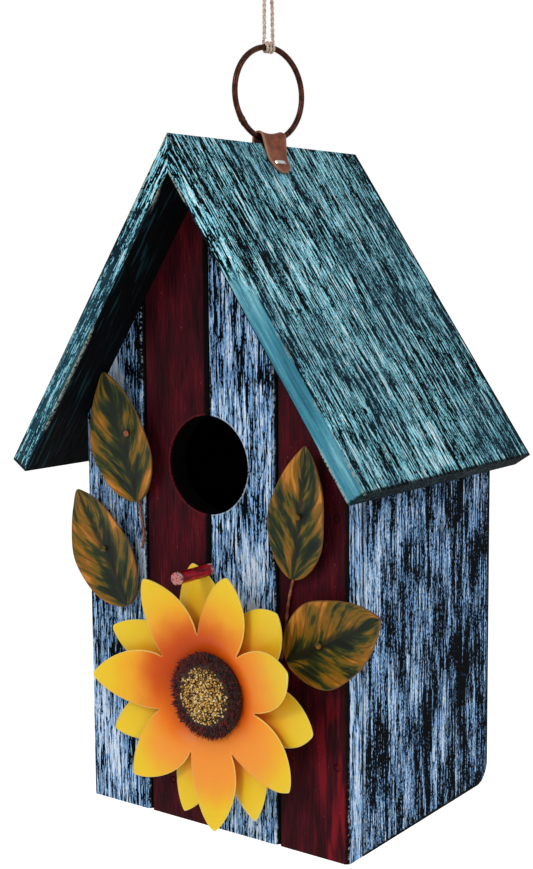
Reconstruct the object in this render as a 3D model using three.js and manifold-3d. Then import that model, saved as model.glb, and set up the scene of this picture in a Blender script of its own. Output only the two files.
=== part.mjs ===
// A small hanging wooden birdhouse with a steep gable roof, a painted sheet-metal flower and four
// metal leaves on its board front. A leather strap stapled over the ridge holds a wire ring, and a
// loop of jute twine is wrapped round the ring. Millimetres, +Z up, -Y is the front.
// The origin is the bearing point inside the top of the twine loop, where a hook holds it.
import * as THREE from 'three';
import { mergeVertices } from 'three/addons/utils/BufferGeometryUtils.js';
import Module from 'manifold-3d';

const wasm = await Module();
wasm.setup();

// ---- Driving dimensions: the box ----
const wallWidth = 127;
const wallDepth = 108;
const ridgeHeight = 266;
const frontThickness = 10;
const sideThickness = 10;
const backThickness = 8;
const backBottom = 14;
const rearCornerRadius = 9;
const frontBoardCount = 4;
const boardChamfer = 1.3;

// ---- Driving dimensions: the roof ----
const roofSlope = THREE.MathUtils.degToRad(56);
const roofThickness = 8;
const roofSlopeLength = 150;
const roofFrontOverhang = 21;
const roofRearSetback = 4.5;

// ---- Driving dimensions: the front ----
const entranceDiameter = 38.1;
const entranceHeight = 143;
const perchDiameter = 4.8;
const perchReach = 20;
const perchHeight = 102.5;
const cleatLap = 4.25;
const cleatHeight = 12;
const cleatThickness = 8;
const cleatBottom = 172;

// ---- Driving dimensions: floor and clean-out ----
const floorThickness = 8;
const floorBottom = 11;
const cleanoutDiameter = 38;
const coverThickness = 2.4;
const coverOverlap = 3.5;
const coverPivot = new THREE.Vector2(-20, 64);
const coverHoleOffset = 27;
const coverEarRadius = 8;

// ---- Driving dimensions: flower and leaves ----
const sheetThickness = 0.8;
const flowerX = 6;
const flowerHeight = 56.5;
const spacerLength = 5.7;
const spacerRadius = 6;
const petalSplitRadius = 23.5;
const petalReach = 49.7;
const petalCup = 1.6;
const centreRadius = 16.4;
const dishRise = 4.2;
const centreDome = 4.4;
const centreEdge = 1.2;
const leafLift = 2.7;
const leafCup = 2.6;
const stemDiameter = 1.3;

// ---- Driving dimensions: hanger ----
const balanceY = 41;
const ringOuterDiameter = 38;
const ringWire = 2.3;
const ringYaw = THREE.MathUtils.degToRad(11);
const strapWidth = 12.6;
const strapThickness = 1.1;
const strapReach = 14.8;
const strapLanding = 6.8;
const stapleCrown = 6.4;
const stapleWire = 1;
const stapleLeg = 6;
const stapleDistance = 10.4;
const stapleForward = 1.2;
const twineDiameter = 1.6;
const hitchLength = 5.6;
const hitchThickness = 1.2;
const strandLength = 21.4;
const knotHeight = 7;
const loopHeight = 12.5;

// ---- Fasteners ----
const wallNailLength = 20;
const frontNailLength = 24;
const roofNailLength = 13.5;
const leafNailGrip = 7;
const roofNailInset = 3.2;
const rearNailInset = 19.5;
const frontNailFoot = 36;
const backNailFoot = 40;
const frontNailDrop = 29;
const backNailDrop = 19;
const frontFloorNailX = 19.7;
const floorNailY = 32;
const taper = 2;
const boreRunOut = 2;
const nailShank = 0.8;
const nailHead = 1.25;
const nailHeadThickness = 0.8;
const nailHeadRound = 0.25;
const nailHeadProud = 0.1;
const screwShank = 1.6;
const screwHead = 3.6;
const screwHeadThickness = 2.2;
const screwShort = 2;
const screwGrip = 6;
const washerRadius = 5;
const washerThickness = 0.8;

// ---- Clearances ----
const gap = 0.3;
const runningGap = 0.35;

// ---- Worked-out places ----
const tanSlope = Math.tan(roofSlope);
const sinSlope = Math.sin(roofSlope);
const cosSlope = Math.cos(roofSlope);
const undersideApex = ridgeHeight - roofThickness / cosSlope;
const wallTopApex = undersideApex - gap / cosSlope;
const halfWidth = wallWidth / 2;
const innerHalfWidth = halfWidth - sideThickness;
const boardPitch = wallWidth / frontBoardCount;
const backInner = wallDepth - backThickness;
const ringRadius = (ringOuterDiameter - ringWire) / 2;
const wireRadius = ringWire / 2;
const wireHeight = ridgeHeight + runningGap + wireRadius;
const ringCentreHeight = wireHeight + ringRadius;
const hitchInner = wireRadius + runningGap;
const hitchOuter = hitchInner + hitchThickness;
const strandBottom = ringCentreHeight + ringRadius + hitchOuter + gap;
const knotBottom = strandBottom + strandLength + gap;
const loopBottom = knotBottom + knotHeight + gap;
const hangHeight = loopBottom + loopHeight - twineDiameter / 2;
const twineRadius = twineDiameter / 2;

const X = new THREE.Vector3(1, 0, 0);
const Y = new THREE.Vector3(0, 1, 0);
const Z = new THREE.Vector3(0, 0, 1);

// ---- Materials ----
const paint = (color, roughness, metalness = 0) =>
  new THREE.MeshStandardMaterial({ color, roughness, metalness });
const finish = {
  roof: paint(0x3f7f88, 0.75),
  blue: paint(0x6f9cc4, 0.75),
  red: paint(0x5a1a22, 0.6),
  rawWood: paint(0x8a6a48, 0.85),
  perch: paint(0x8e1a20, 0.5),
  petal: paint(0xf0b52e, 0.35, 0.2),
  centre: paint(0x3a2418, 0.9),
  leaf: paint(0x5d5a22, 0.45, 0.3),
  copper: paint(0x8a4a2c, 0.4, 0.9),
  bronze: paint(0x6e4630, 0.4, 0.9),
  steel: paint(0x8f9092, 0.4, 0.9),
  leather: paint(0x9a5a34, 0.65),
  twine: paint(0xb9a68a, 0.95),
};

// ---- Solid helpers ----

// Merges shared corners, drops collapsed triangles and makes the faces point outwards.
function closed(geometry) {
  const bare = geometry.clone();
  bare.deleteAttribute('normal');
  bare.deleteAttribute('uv');
  const merged = mergeVertices(bare, 1e-3);
  const place = merged.attributes.position;
  const old = merged.index.array;
  const corners = [];
  const a = new THREE.Vector3();
  const b = new THREE.Vector3();
  const c = new THREE.Vector3();
  let volume = 0;
  for (let i = 0; i < old.length; i += 3) {
    const [p, q, r] = [old[i], old[i + 1], old[i + 2]];
    if (p === q || q === r || r === p) continue;
    corners.push(p, q, r);
    a.fromBufferAttribute(place, p);
    b.fromBufferAttribute(place, q);
    c.fromBufferAttribute(place, r);
    volume += a.dot(b.cross(c));
  }
  if (volume < 0) corners.reverse();
  merged.setIndex(corners);
  return merged;
}

function toSolid(geometry) {
  const tidy = closed(geometry);
  return new wasm.Manifold(new wasm.Mesh({
    numProp: 3,
    vertProperties: new Float32Array(tidy.attributes.position.array),
    triVerts: new Uint32Array(tidy.index.array),
  }));
}

function toGeometry(solid) {
  const mesh = solid.getMesh();
  const geometry = new THREE.BufferGeometry();
  geometry.setAttribute('position', new THREE.BufferAttribute(mesh.vertProperties, 3));
  geometry.setIndex(new THREE.BufferAttribute(mesh.triVerts, 1));
  return geometry;
}

// Cuts every tool out of the geometry.
function cut(geometry, tools) {
  let solid = toSolid(geometry);
  for (const tool of tools) solid = solid.subtract(toSolid(tool));
  return toGeometry(solid);
}

function keepInside(geometry, limit) {
  return toGeometry(toSolid(geometry).intersect(toSolid(limit)));
}

function polygon(points) {
  return new THREE.Shape(points.map(([x, y]) => new THREE.Vector2(x, y)));
}

// Extrudes a flat outline along one row axis, from low to high.
function prism(shape, axis, low, high, curveSegments = 12) {
  const geometry = new THREE.ExtrudeGeometry(shape, {
    depth: high - low, bevelEnabled: false, curveSegments,
  });
  const turn = new THREE.Matrix4();
  if (axis === X) turn.makeBasis(Y, Z, X);
  if (axis === Y) turn.makeBasis(X, Z, Y.clone().negate());
  geometry.applyMatrix4(turn);
  const start = axis === Y ? high : low;
  return geometry.translate(axis.x * start, axis.y * start, axis.z * start);
}

function block(x0, x1, y0, y1, z0, z1) {
  return new THREE.BoxGeometry(x1 - x0, y1 - y0, z1 - z0)
    .translate((x0 + x1) / 2, (y0 + y1) / 2, (z0 + z1) / 2);
}

// Turns a shape made about the local Y axis to point along a direction, and sets its origin.
function aim(geometry, direction, origin) {
  const turn = new THREE.Quaternion().setFromUnitVectors(Y, direction.clone().normalize());
  return geometry.applyQuaternion(turn).translate(origin.x, origin.y, origin.z);
}

// A round rod or bore from one point along a direction.
function rod(radius, length, direction, start, sides = 16) {
  const geometry = new THREE.CylinderGeometry(radius, radius, length, sides).translate(0, length / 2, 0);
  return aim(geometry, direction, start);
}

// A turned piece: its profile is [radius, height] pairs that start and end on the axis.
function turned(profile, direction, origin, sides = 12) {
  const points = profile.map(([r, h]) => new THREE.Vector2(r, h));
  return aim(new THREE.LatheGeometry(points, sides), direction, origin);
}

// A round section swept along a curve.
function sweep(curve, section, steps, curveSegments = 2) {
  return new THREE.ExtrudeGeometry(section, {
    steps, bevelEnabled: false, extrudePath: curve, curveSegments,
  });
}

function circle(radius, hole = 0) {
  const shape = new THREE.Shape().absarc(0, 0, radius, 0, Math.PI * 2, false);
  if (hole) shape.holes.push(new THREE.Path().absarc(0, 0, hole, 0, Math.PI * 2, true));
  return shape;
}

// A thin plate with two faces over a grid: face(i, j, side) gives a corner, side is 1 or -1.
// open(edge, i) says that the plate carries on into a neighbour there, so it gets no wall.
function plateTriangles(rows, columns, face, open = () => false) {
  const triangles = [];
  const wall = (p, q) => {
    const [pt, qt] = [face(...p, 1), face(...q, 1)];
    const [pb, qb] = [face(...p, -1), face(...q, -1)];
    triangles.push(qt, pt, pb, qt, pb, qb);
  };
  for (let i = 0; i < rows; i += 1) {
    for (let j = 0; j < columns; j += 1) {
      const cell = [[i, j], [i + 1, j], [i + 1, j + 1], [i, j + 1]];
      const [a, b, c, d] = cell.map((corner) => face(...corner, 1));
      const [e, f, g, h] = cell.map((corner) => face(...corner, -1));
      triangles.push(a, b, c, a, c, d, g, f, e, h, g, e);
    }
    if (!open('low', i)) wall([i, 0], [i + 1, 0]);
    if (!open('high', i)) wall([i + 1, columns], [i, columns]);
  }
  for (let j = 0; j < columns; j += 1) {
    wall([rows, j], [rows, j + 1]);
    wall([0, j + 1], [0, j]);
  }
  return triangles;
}

function fromTriangles(points) {
  const geometry = new THREE.BufferGeometry().setFromPoints(points);
  geometry.setIndex(points.map((_, i) => i));
  return closed(geometry);
}

function part(name, geometry, material) {
  const mesh = new THREE.Mesh(closed(geometry), material);
  mesh.name = name;
  return mesh;
}

// ---- Roof and walls ----

// Everything below the roof, less the fitting gap.
function underRoof() {
  const reach = wallWidth;
  const outline = polygon([
    [-reach, -reach],
    [reach, -reach],
    [reach, wallTopApex - reach * tanSlope],
    [0, wallTopApex],
    [-reach, wallTopApex - reach * tanSlope],
  ]);
  return prism(outline, Y, -wallDepth, 2 * wallDepth);
}

// A point on the roof's outer face: side is 1 on the right, down is the distance from the ridge.
function onRoof(side, down, y, height = 0) {
  return new THREE.Vector3(
    side * (down * cosSlope + height * sinSlope),
    y,
    ridgeHeight - down * sinSlope + height * cosSlope,
  );
}

function roofPanel(side) {
  const mitre = side * gap / 2;
  const eave = onRoof(side, roofSlopeLength, 0);
  const foot = onRoof(side, roofSlopeLength, 0, -roofThickness);
  const outline = polygon([
    [mitre, ridgeHeight - Math.abs(mitre) * tanSlope],
    [eave.x, eave.z],
    [foot.x, foot.z],
    [mitre, undersideApex - Math.abs(mitre) * tanSlope],
  ]);
  return prism(outline, Y, -roofFrontOverhang, wallDepth - roofRearSetback);
}

function frontBoard(index) {
  const x0 = -halfWidth + index * boardPitch + gap / 2;
  const x1 = x0 + boardPitch - gap;
  const outline = polygon([
    [x0, boardChamfer],
    [x0 + boardChamfer, 0],
    [x1 - boardChamfer, 0],
    [x1, boardChamfer],
    [x1, frontThickness],
    [x0, frontThickness],
  ]);
  return keepInside(prism(outline, Z, 0, ridgeHeight), underRoof());
}

function sideWall(side) {
  const r = rearCornerRadius;
  const outline = new THREE.Shape();
  outline.moveTo(frontThickness + gap, 0);
  outline.lineTo(wallDepth - r, 0);
  outline.absarc(wallDepth - r, r, r, -Math.PI / 2, 0, false);
  outline.lineTo(wallDepth, ridgeHeight);
  outline.lineTo(frontThickness + gap, ridgeHeight);
  const [x0, x1] = side > 0 ? [innerHalfWidth, halfWidth] : [-halfWidth, -innerHalfWidth];
  return keepInside(prism(outline, X, x0, x1, 8), underRoof());
}

function backWall() {
  const half = innerHalfWidth - gap;
  return keepInside(block(-half, half, backInner, wallDepth, backBottom, ridgeHeight), underRoof());
}

function floorBoard() {
  const half = innerHalfWidth - gap;
  const top = floorBottom + floorThickness;
  return block(-half, half, frontThickness + gap, backInner - gap, floorBottom, top);
}

function frontCleat() {
  const half = boardPitch + cleatLap;
  const y0 = frontThickness + gap;
  return block(-half, half, y0, y0 + cleatThickness, cleatBottom, cleatBottom + cleatHeight);
}

// ---- Fasteners ----

// A nail driven along -out at a point on a surface. Its point tapers, and seat is the height of
// its head's underside over the surface, below zero for a head set into the wood.
function nailSolid({ point, out, length, seat }) {
  const profile = [
    [0, seat + nailHeadThickness],
    [nailHead - nailHeadRound, seat + nailHeadThickness],
    [nailHead, seat + nailHeadThickness - nailHeadRound],
    [nailHead, seat],
    [nailShank, seat],
    [nailShank, taper - length],
    [0, -length],
  ];
  return turned(profile, out, point, 10);
}

// The bore a nail needs, stepped for a head that is set in.
function nailBores({ point, out, length, seat }) {
  const inward = out.clone().negate();
  const start = point.clone().addScaledVector(out, boreRunOut);
  const shank = rod(nailShank + gap, length + boreRunOut + gap, inward, start, 10);
  const head = rod(nailHead + gap, boreRunOut - seat + gap, inward, start, 10);
  return seat < 0 ? [shank, head] : [shank];
}

function screwSolid(point, out, length) {
  const profile = [
    [0, gap + screwHeadThickness],
    [screwHead * 0.6, gap + screwHeadThickness],
    [screwHead, gap + screwHeadThickness * 0.4],
    [screwHead, gap],
    [screwShank, gap],
    [screwShank, taper - length],
    [0, -length],
  ];
  return turned(profile, out, point, 14);
}

function screwBore(point, out, length) {
  const start = point.clone().addScaledVector(out, boreRunOut);
  return rod(screwShank + runningGap, length + boreRunOut + gap, out.clone().negate(), start, 14);
}

const front = Y.clone().negate();
const roofNormal = (side) => new THREE.Vector3(side * sinSlope, 0, cosSlope);

// Roof nails go in square to the slope and end inside the side wall's sloping top.
const roofNailDown = (halfWidth - roofNailInset) / cosSlope + roofThickness * tanSlope;
const roofNailPlaces = [frontThickness / 2, wallDepth / 2, wallDepth - rearNailInset];
const eaveHeight = wallTopApex - halfWidth * tanSlope;
const frontNailHeights = [frontNailFoot, eaveHeight - frontNailDrop];
const backNailHeights = [backNailFoot, eaveHeight - backNailDrop];
const frontNailX = halfWidth - sideThickness / 2;
const floorMiddle = floorBottom + floorThickness / 2;
const backNailY = wallDepth - backThickness / 2;

const sunk = nailHeadProud - nailHeadThickness;
const nails = [];
for (const [side, word] of [[-1, 'left'], [1, 'right']]) {
  roofNailPlaces.forEach((y, i) => nails.push({
    name: `roof_nail_${word}_${i + 1}`,
    point: onRoof(side, roofNailDown, y),
    out: roofNormal(side),
    length: roofNailLength,
    seat: sunk,
  }));
  frontNailHeights.forEach((z, i) => nails.push({
    name: `front_nail_${word}_${i + 1}`,
    point: new THREE.Vector3(side * frontNailX, 0, z),
    out: front,
    length: frontNailLength,
    seat: sunk,
  }));
  nails.push({
    name: `front_floor_nail_${word}`,
    point: new THREE.Vector3(side * frontFloorNailX, 0, floorMiddle),
    out: front,
    length: frontNailLength,
    seat: sunk,
  });
  nails.push({
    name: `floor_nail_${word}`,
    point: new THREE.Vector3(side * halfWidth, floorNailY, floorMiddle),
    out: X.clone().multiplyScalar(side),
    length: wallNailLength,
    seat: sunk,
  });
  backNailHeights.forEach((z, i) => nails.push({
    name: `back_nail_${word}_${i + 1}`,
    point: new THREE.Vector3(side * halfWidth, backNailY, z),
    out: X.clone().multiplyScalar(side),
    length: wallNailLength,
    seat: sunk,
  }));
}
const bores = (filter) => nails.filter(({ name }) => filter.test(name))
  .flatMap(nailBores);

// ---- Flower ----

const flowerStack = spacerLength + 2 * sheetThickness + 3 * gap;
const flowerScrewPoint = new THREE.Vector3(flowerX, -flowerStack, flowerHeight);
const flowerScrewLength = flowerStack + frontThickness - screwShort;

const petalFlatRadius = centreRadius + gap;

// One layer of the flower: a flat middle, a dished rim and seven petals, cut from one sheet.
// Petals are [direction in degrees, how far the tip is bent forward].
function petalLayer(petals, middleY, rimRise) {
  const innerRows = [screwShank + runningGap, petalFlatRadius, petalSplitRadius];
  const petalRows = 7;
  const columns = 4;
  const triangles = [];
  petals.forEach(([degrees, bend], index) => {
    const direction = THREE.MathUtils.degToRad(degrees);
    const neighbour = (step) => {
      const [other] = petals[(index + step + petals.length) % petals.length];
      const turn = THREE.MathUtils.euclideanModulo((other - degrees) * step, 360);
      return THREE.MathUtils.degToRad(turn) / 2;
    };
    const [before, after] = [neighbour(-1), neighbour(1)];
    const face = (i, j, side) => {
      const across = 2 * j / columns - 1;
      const t = Math.max(0, i - innerRows.length + 1) / petalRows;
      const along = 1 - (1 - t) ** 1.4;
      const radius = i < innerRows.length
        ? innerRows[i]
        : petalSplitRadius + along * (petalReach - petalSplitRadius);
      const spread = (1 - along) ** 0.85;
      const angle = direction + across * (across < 0 ? before : after) * spread;
      const rim = i < innerRows.length - 1 ? 0 : rimRise;
      const cup = petalCup * across * across * Math.sin(Math.PI * along);
      const lift = rim + (bend - rim) * along ** 1.2 - cup;
      return new THREE.Vector3(
        flowerX + radius * Math.cos(angle),
        middleY - lift + side * sheetThickness / 2,
        flowerHeight + radius * Math.sin(angle),
      );
    };
    const joined = (_, i) => i < innerRows.length - 1;
    triangles.push(...plateTriangles(innerRows.length - 1 + petalRows, columns, face, joined));
  });
  return fromTriangles(triangles);
}

const backLayerY = -(spacerLength + 2 * gap + sheetThickness / 2);
const frontLayerY = backLayerY - sheetThickness - gap;
const frontPetals = [[22, 14], [74, 6.6], [119, 10], [177, 11.6], [227, 6.2], [281, 10], [326, 6.6]];
const backPetals = [[47, 4.3], [104, -4], [155, 5.6], [204, 5], [256, 2.8], [299, 5], [353, 4.3]];

function flowerSpacer() {
  const ringShape = circle(spacerRadius, screwShank + runningGap);
  return prism(ringShape, Y, -gap - spacerLength, -gap, 8).translate(flowerX, 0, flowerHeight);
}

// A domed seed head, hollowed at the back over the screw.
function flowerCentre() {
  const back = frontLayerY - sheetThickness / 2 - gap;
  const recess = screwHead + 2 * gap;
  const recessDepth = screwHeadThickness + 2 * gap;
  const rim = centreEdge;
  const profile = [
    [0, recessDepth],
    [recess, recessDepth],
    [recess, 0],
    [centreRadius, 0],
    [centreRadius, rim],
  ];
  const steps = 5;
  for (let i = 1; i <= steps; i += 1) {
    const turn = (i / steps) * Math.PI / 2;
    profile.push([centreRadius * Math.cos(turn), rim + (centreDome - rim) * Math.sin(turn)]);
  }
  profile[profile.length - 1][0] = 0;
  return turned(profile, front, new THREE.Vector3(flowerX, back, flowerHeight), 24);
}

// ---- Leaves ----

// Base, tip and nail are [x, z] on the front; half is half the leaf's width, and tipLift is how
// far its tip stands off.
const leaves = [
  { name: 'upper_left', base: [-34, 126], tip: [-46, 177.5], nail: [-36, 153.5], half: 15, tipLift: 5 },
  { name: 'lower_left', base: [-39.5, 83.5], tip: [-62.5, 129.5], nail: [-50, 106], half: 15.5, tipLift: 4 },
  { name: 'upper_right', base: [41, 104], tip: [50, 154.5], nail: [45, 128], half: 12.5, tipLift: 4 },
  { name: 'lower_right', base: [38, 73], tip: [82.5, 96.5], nail: [54, 82], half: 16, tipLift: 6 },
];

function leafFrame(leaf) {
  const base = new THREE.Vector2(...leaf.base);
  const along = new THREE.Vector2(...leaf.tip).sub(base);
  const length = along.length();
  along.normalize();
  return { base, along, across: new THREE.Vector2(along.y, -along.x), length };
}

// How far the middle of the leaf's sheet stands off the boards.
function leafHeight(leaf, u, v) {
  return leafLift + leaf.tipLift * u ** 1.6 + leafCup * v * v * Math.sin(Math.PI * Math.min(1, u * 1.1));
}

function leafSolid(leaf) {
  const { base, along, across, length } = leafFrame(leaf);
  const rows = 10;
  const columns = 4;
  const widest = (0.46 ** 0.6) * (0.54 ** 0.7);
  const face = (i, j, side) => {
    const u = i / rows;
    const v = 2 * j / columns - 1;
    const width = leaf.half * (u ** 0.6) * ((1 - u) ** 0.7) / widest;
    const spot = base.clone().addScaledVector(along, u * length).addScaledVector(across, v * width);
    const y = -leafHeight(leaf, u, v) + side * sheetThickness / 2;
    return new THREE.Vector3(spot.x, y, spot.y);
  };
  return fromTriangles(plateTriangles(rows, columns, face));
}

// The leaf's nail stands up through the sheet, which it holds off the boards.
function leafNail(leaf) {
  const { base, along, across, length } = leafFrame(leaf);
  const offset = new THREE.Vector2(...leaf.nail).sub(base);
  const u = offset.dot(along) / length;
  const v = offset.dot(across) / leaf.half;
  const stand = leafHeight(leaf, u, v) + sheetThickness;
  const point = new THREE.Vector3(leaf.nail[0], -stand, leaf.nail[1]);
  return { name: `leaf_nail_${leaf.name}`, point, out: front, length: stand + leafNailGrip, seat: gap };
}

const stemY = -(stemDiameter / 2 + runningGap);
const stems = [
  { name: 'leaf_stem_left', points: [[-34.5, 129], [-33.6, 121], [-32.2, 114], [-33, 107.5]] },
  { name: 'leaf_stem_right', points: [[41, 107], [38.6, 98], [37.2, 90], [36.2, 81], [34.5, 73]] },
];

function stemSolid(stem) {
  const route = stem.points.map(([x, z]) => new THREE.Vector3(x, stemY, z));
  return sweep(new THREE.CatmullRomCurve3(route), circle(stemDiameter / 2), 10);
}

// ---- Strap, ring and twine ----

const wireDirection = new THREE.Vector3(Math.sin(ringYaw), Math.cos(ringYaw), 0);
const strapDirection = new THREE.Vector3(Math.cos(ringYaw), -Math.sin(ringYaw), 0);

// The strap's middle surface crosses the ridge at right angles to the wire. It arches over the
// wire, wider at its two mouths where the ring curves up, and lies on the roof at both ends.
function strapCurve(across) {
  const off = across * strapWidth / 2;
  const rise = ringRadius - Math.sqrt(ringRadius ** 2 - off ** 2);
  const arch = wireRadius + runningGap + strapThickness / 2 + rise;
  const ridgeShift = -off * Math.tan(ringYaw);
  const clear = gap + strapThickness / 2;
  const at = (reach, z) => new THREE.Vector3(0, balanceY, 0)
    .addScaledVector(wireDirection, off)
    .addScaledVector(strapDirection, reach)
    .setZ(z);
  const slopeAt = (side, down) => {
    const spot = onRoof(side, down, 0, clear);
    return at(ridgeShift + spot.x / Math.cos(ringYaw), spot.z);
  };
  const archAt = (degrees) => {
    const turn = THREE.MathUtils.degToRad(degrees);
    return at(arch * Math.sin(turn), wireHeight + arch * Math.cos(turn));
  };
  return new THREE.CatmullRomCurve3([
    slopeAt(-1, strapReach),
    slopeAt(-1, (strapReach + strapLanding) / 2),
    slopeAt(-1, strapLanding),
    archAt(-72),
    archAt(-36),
    archAt(0),
    archAt(36),
    archAt(72),
    slopeAt(1, strapLanding),
    slopeAt(1, (strapReach + strapLanding) / 2),
    slopeAt(1, strapReach),
  ]);
}

function strapSolid() {
  const rows = 24;
  const columns = 6;
  const roundEnd = 0.2;
  const face = (i, j, side) => {
    const u = 0.5 - Math.cos(Math.PI * i / rows) / 2;
    const fromEnd = Math.min(1, Math.min(u, 1 - u) / roundEnd);
    const across = (2 * j / columns - 1) * Math.sqrt(1 - (1 - fromEnd) ** 2);
    const curve = strapCurve(across);
    const point = curve.getPoint(u);
    const normal = curve.getTangent(u).cross(wireDirection).normalize();
    return point.addScaledVector(normal, side * strapThickness / 2);
  };
  return fromTriangles(plateTriangles(rows, columns, face));
}

// A staple across the strap, its crown over the leather and its legs in the roof board.
function stapleSolid(side) {
  const half = stapleCrown / 2;
  const inner = half - stapleWire;
  const over = gap + strapThickness + gap;
  const foot = -stapleLeg - over + gap;
  const outline = polygon([
    [-half, stapleWire],
    [half, stapleWire],
    [half, foot],
    [inner, foot],
    [inner, 0],
    [-inner, 0],
    [-inner, foot],
    [-half, foot],
  ]);
  const geometry = new THREE.ExtrudeGeometry(outline, { depth: stapleWire, bevelEnabled: false });
  return placeStaple(geometry.translate(0, 0, -stapleWire / 2), side, over);
}

// Moves a shape made at the staple's own middle to its place on the roof.
function placeStaple(geometry, side, over) {
  const downSlope = new THREE.Vector3(side * cosSlope, 0, -sinSlope);
  const normal = roofNormal(side);
  const shift = side * stapleDistance * cosSlope * Math.tan(ringYaw);
  const middle = onRoof(side, stapleDistance, balanceY - stapleForward - shift, over);
  const across = new THREE.Vector3().crossVectors(normal, downSlope);
  const turn = new THREE.Matrix4().makeBasis(across, normal, downSlope);
  return geometry.applyMatrix4(turn).translate(middle.x, middle.y, middle.z);
}

// Two slots for the staple's legs, without the crown between them.
function stapleSlots(side) {
  const width = stapleWire + 2 * gap;
  const spread = (stapleCrown - stapleWire) / 2;
  return [-1, 1].map((end) => {
    const slot = new THREE.BoxGeometry(width, 2 * (stapleLeg + gap), width);
    return placeStaple(slot.translate(end * spread, 0, 0), side, 0);
  });
}

function ringSolid() {
  return new THREE.TorusGeometry(ringRadius, wireRadius, 8, 48)
    .rotateY(Math.PI / 2)
    .rotateZ(-ringYaw)
    .translate(0, balanceY, ringCentreHeight);
}

// The twine's wraps, as one sleeve that follows the ring's curve.
function hitchSolid() {
  const points = [];
  const steps = 6;
  for (let i = 0; i <= steps; i += 1) {
    const turn = (i / steps - 0.5) * hitchLength / ringRadius;
    points.push(new THREE.Vector3(0, balanceY, ringCentreHeight + ringRadius * Math.cos(turn))
      .addScaledVector(wireDirection, ringRadius * Math.sin(turn)));
  }
  return sweep(new THREE.CatmullRomCurve3(points), circle(hitchOuter, hitchInner), steps, 6);
}

// Twine routes: [x, y, z] from the origin, chosen by hand.
const strandFrontPoints = [
  [0, -2.7, -40.6], [0.02, -2.72, -39.2], [0.05, -2.74, -37.8], [0.06, -2.75, -36.4], [0.06, -2.74, -35],
  [0.04, -2.72, -33.6], [0.02, -2.7, -32.2], [0, -2.68, -30.8], [-0.02, -2.62, -29.4], [-0.03, -2.52, -28],
  [-0.03, -2.38, -26.6], [-0.02, -2.18, -25.2], [0, -1.92, -23.8], [0, -1.62, -22.4], [0, -1.34, -21],
  [0, -1.12, -19.5],
];
const strandBackPoints = [
  [0, 2.7, -40.6], [-0.02, 2.72, -39.2], [-0.04, 2.74, -37.8], [-0.06, 2.74, -36.4], [-0.06, 2.72, -35],
  [-0.05, 2.7, -33.6], [-0.03, 2.68, -32.2], [0, 2.66, -30.8], [0.02, 2.6, -29.4], [0.03, 2.5, -28],
  [0.03, 2.36, -26.6], [0.02, 2.16, -25.2], [0, 1.9, -23.8], [0, 1.6, -22.4], [0, 1.32, -21],
  [0, 1.12, -19.5],
];
const loopPoints = [
  [0, -1.15, -11.6], [0, -1.45, -10.7], [0, -2.1, -9.6], [0, -2.85, -8.3], [0, -3.5, -6.8],
  [0, -3.95, -5.1], [0, -4.05, -3.4], [0, -3.7, -1.8], [0, -2.85, -0.4], [0, -1.5, 0.5],
  [0, 0, 0.8], [0, 1.5, 0.5], [0, 2.85, -0.4], [0, 3.7, -1.8], [0, 4.05, -3.4],
  [0, 3.95, -5.1], [0, 3.5, -6.8], [0, 2.85, -8.3], [0, 2.1, -9.6], [0, 1.45, -10.7],
  [0, 1.15, -11.6],
];

function twineSolid(points, steps) {
  const route = new THREE.CatmullRomCurve3(points.map((point) => new THREE.Vector3(...point)));
  return sweep(route, circle(twineRadius), steps, 4);
}

function knotSolid() {
  const middle = knotBottom + knotHeight / 2 - hangHeight;
  return new THREE.SphereGeometry(1, 14, 10)
    .rotateX(Math.PI / 2)
    .scale(2.9, 3.3, knotHeight / 2)
    .translate(0, 0, middle);
}

// ---- Clean-out cover ----

const coverTop = floorBottom - gap;
const coverHole = new THREE.Vector2(coverPivot.x + coverHoleOffset, coverPivot.y);
const down = Z.clone().negate();
const coverUnderside = coverTop - coverThickness;
const coverScrewPoint = new THREE.Vector3(coverPivot.x, coverPivot.y, coverUnderside - gap - washerThickness);
const coverScrewLength = coverThickness + washerThickness + 2 * gap + screwGrip;

// A pear-shaped plate: a disc over the opening and an ear round the pivot screw.
function cleanoutCover() {
  const disc = cleanoutDiameter / 2 + coverOverlap;
  const lean = Math.acos((disc - coverEarRadius) / coverHoleOffset);
  const outline = new THREE.Shape();
  outline.absarc(coverHole.x, coverHole.y, disc, lean - Math.PI, Math.PI - lean, false);
  outline.absarc(coverPivot.x, coverPivot.y, coverEarRadius, Math.PI - lean, Math.PI + lean, false);
  const pivotRadius = screwShank + runningGap;
  outline.holes.push(new THREE.Path().absarc(coverPivot.x, coverPivot.y, pivotRadius, 0, Math.PI * 2, true));
  return prism(outline, Z, coverUnderside, coverTop, 14);
}

function cleanoutWasher() {
  const top = coverUnderside - gap;
  return prism(circle(washerRadius, screwShank + runningGap), Z, top - washerThickness, top, 7)
    .translate(coverPivot.x, coverPivot.y, 0);
}

// ---- Assembly ----

const house = new THREE.Group();
house.position.set(0, -balanceY, -hangHeight);

const leafNails = leaves.map(leafNail);
const leafBores = leafNails.flatMap(nailBores);
const entranceStart = new THREE.Vector3(0, -frontThickness, entranceHeight);
const entrance = rod(entranceDiameter / 2, 3 * frontThickness, Y, entranceStart, 48);
const perchInside = frontThickness;
const perchStart = new THREE.Vector3(0, -perchReach, perchHeight);
const perchBore = rod(perchDiameter / 2 + gap, perchReach + perchInside + boreRunOut, Y, perchStart, 16);
const flowerBore = screwBore(flowerScrewPoint, front, flowerScrewLength);

for (let index = 0; index < frontBoardCount; index += 1) {
  const tools = [entrance, perchBore, flowerBore, ...leafBores, ...bores(/^(front|roof)/)];
  const board = cut(frontBoard(index), tools);
  house.add(part(`front_board_${index + 1}`, board, index % 2 ? finish.red : finish.blue));
}

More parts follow.
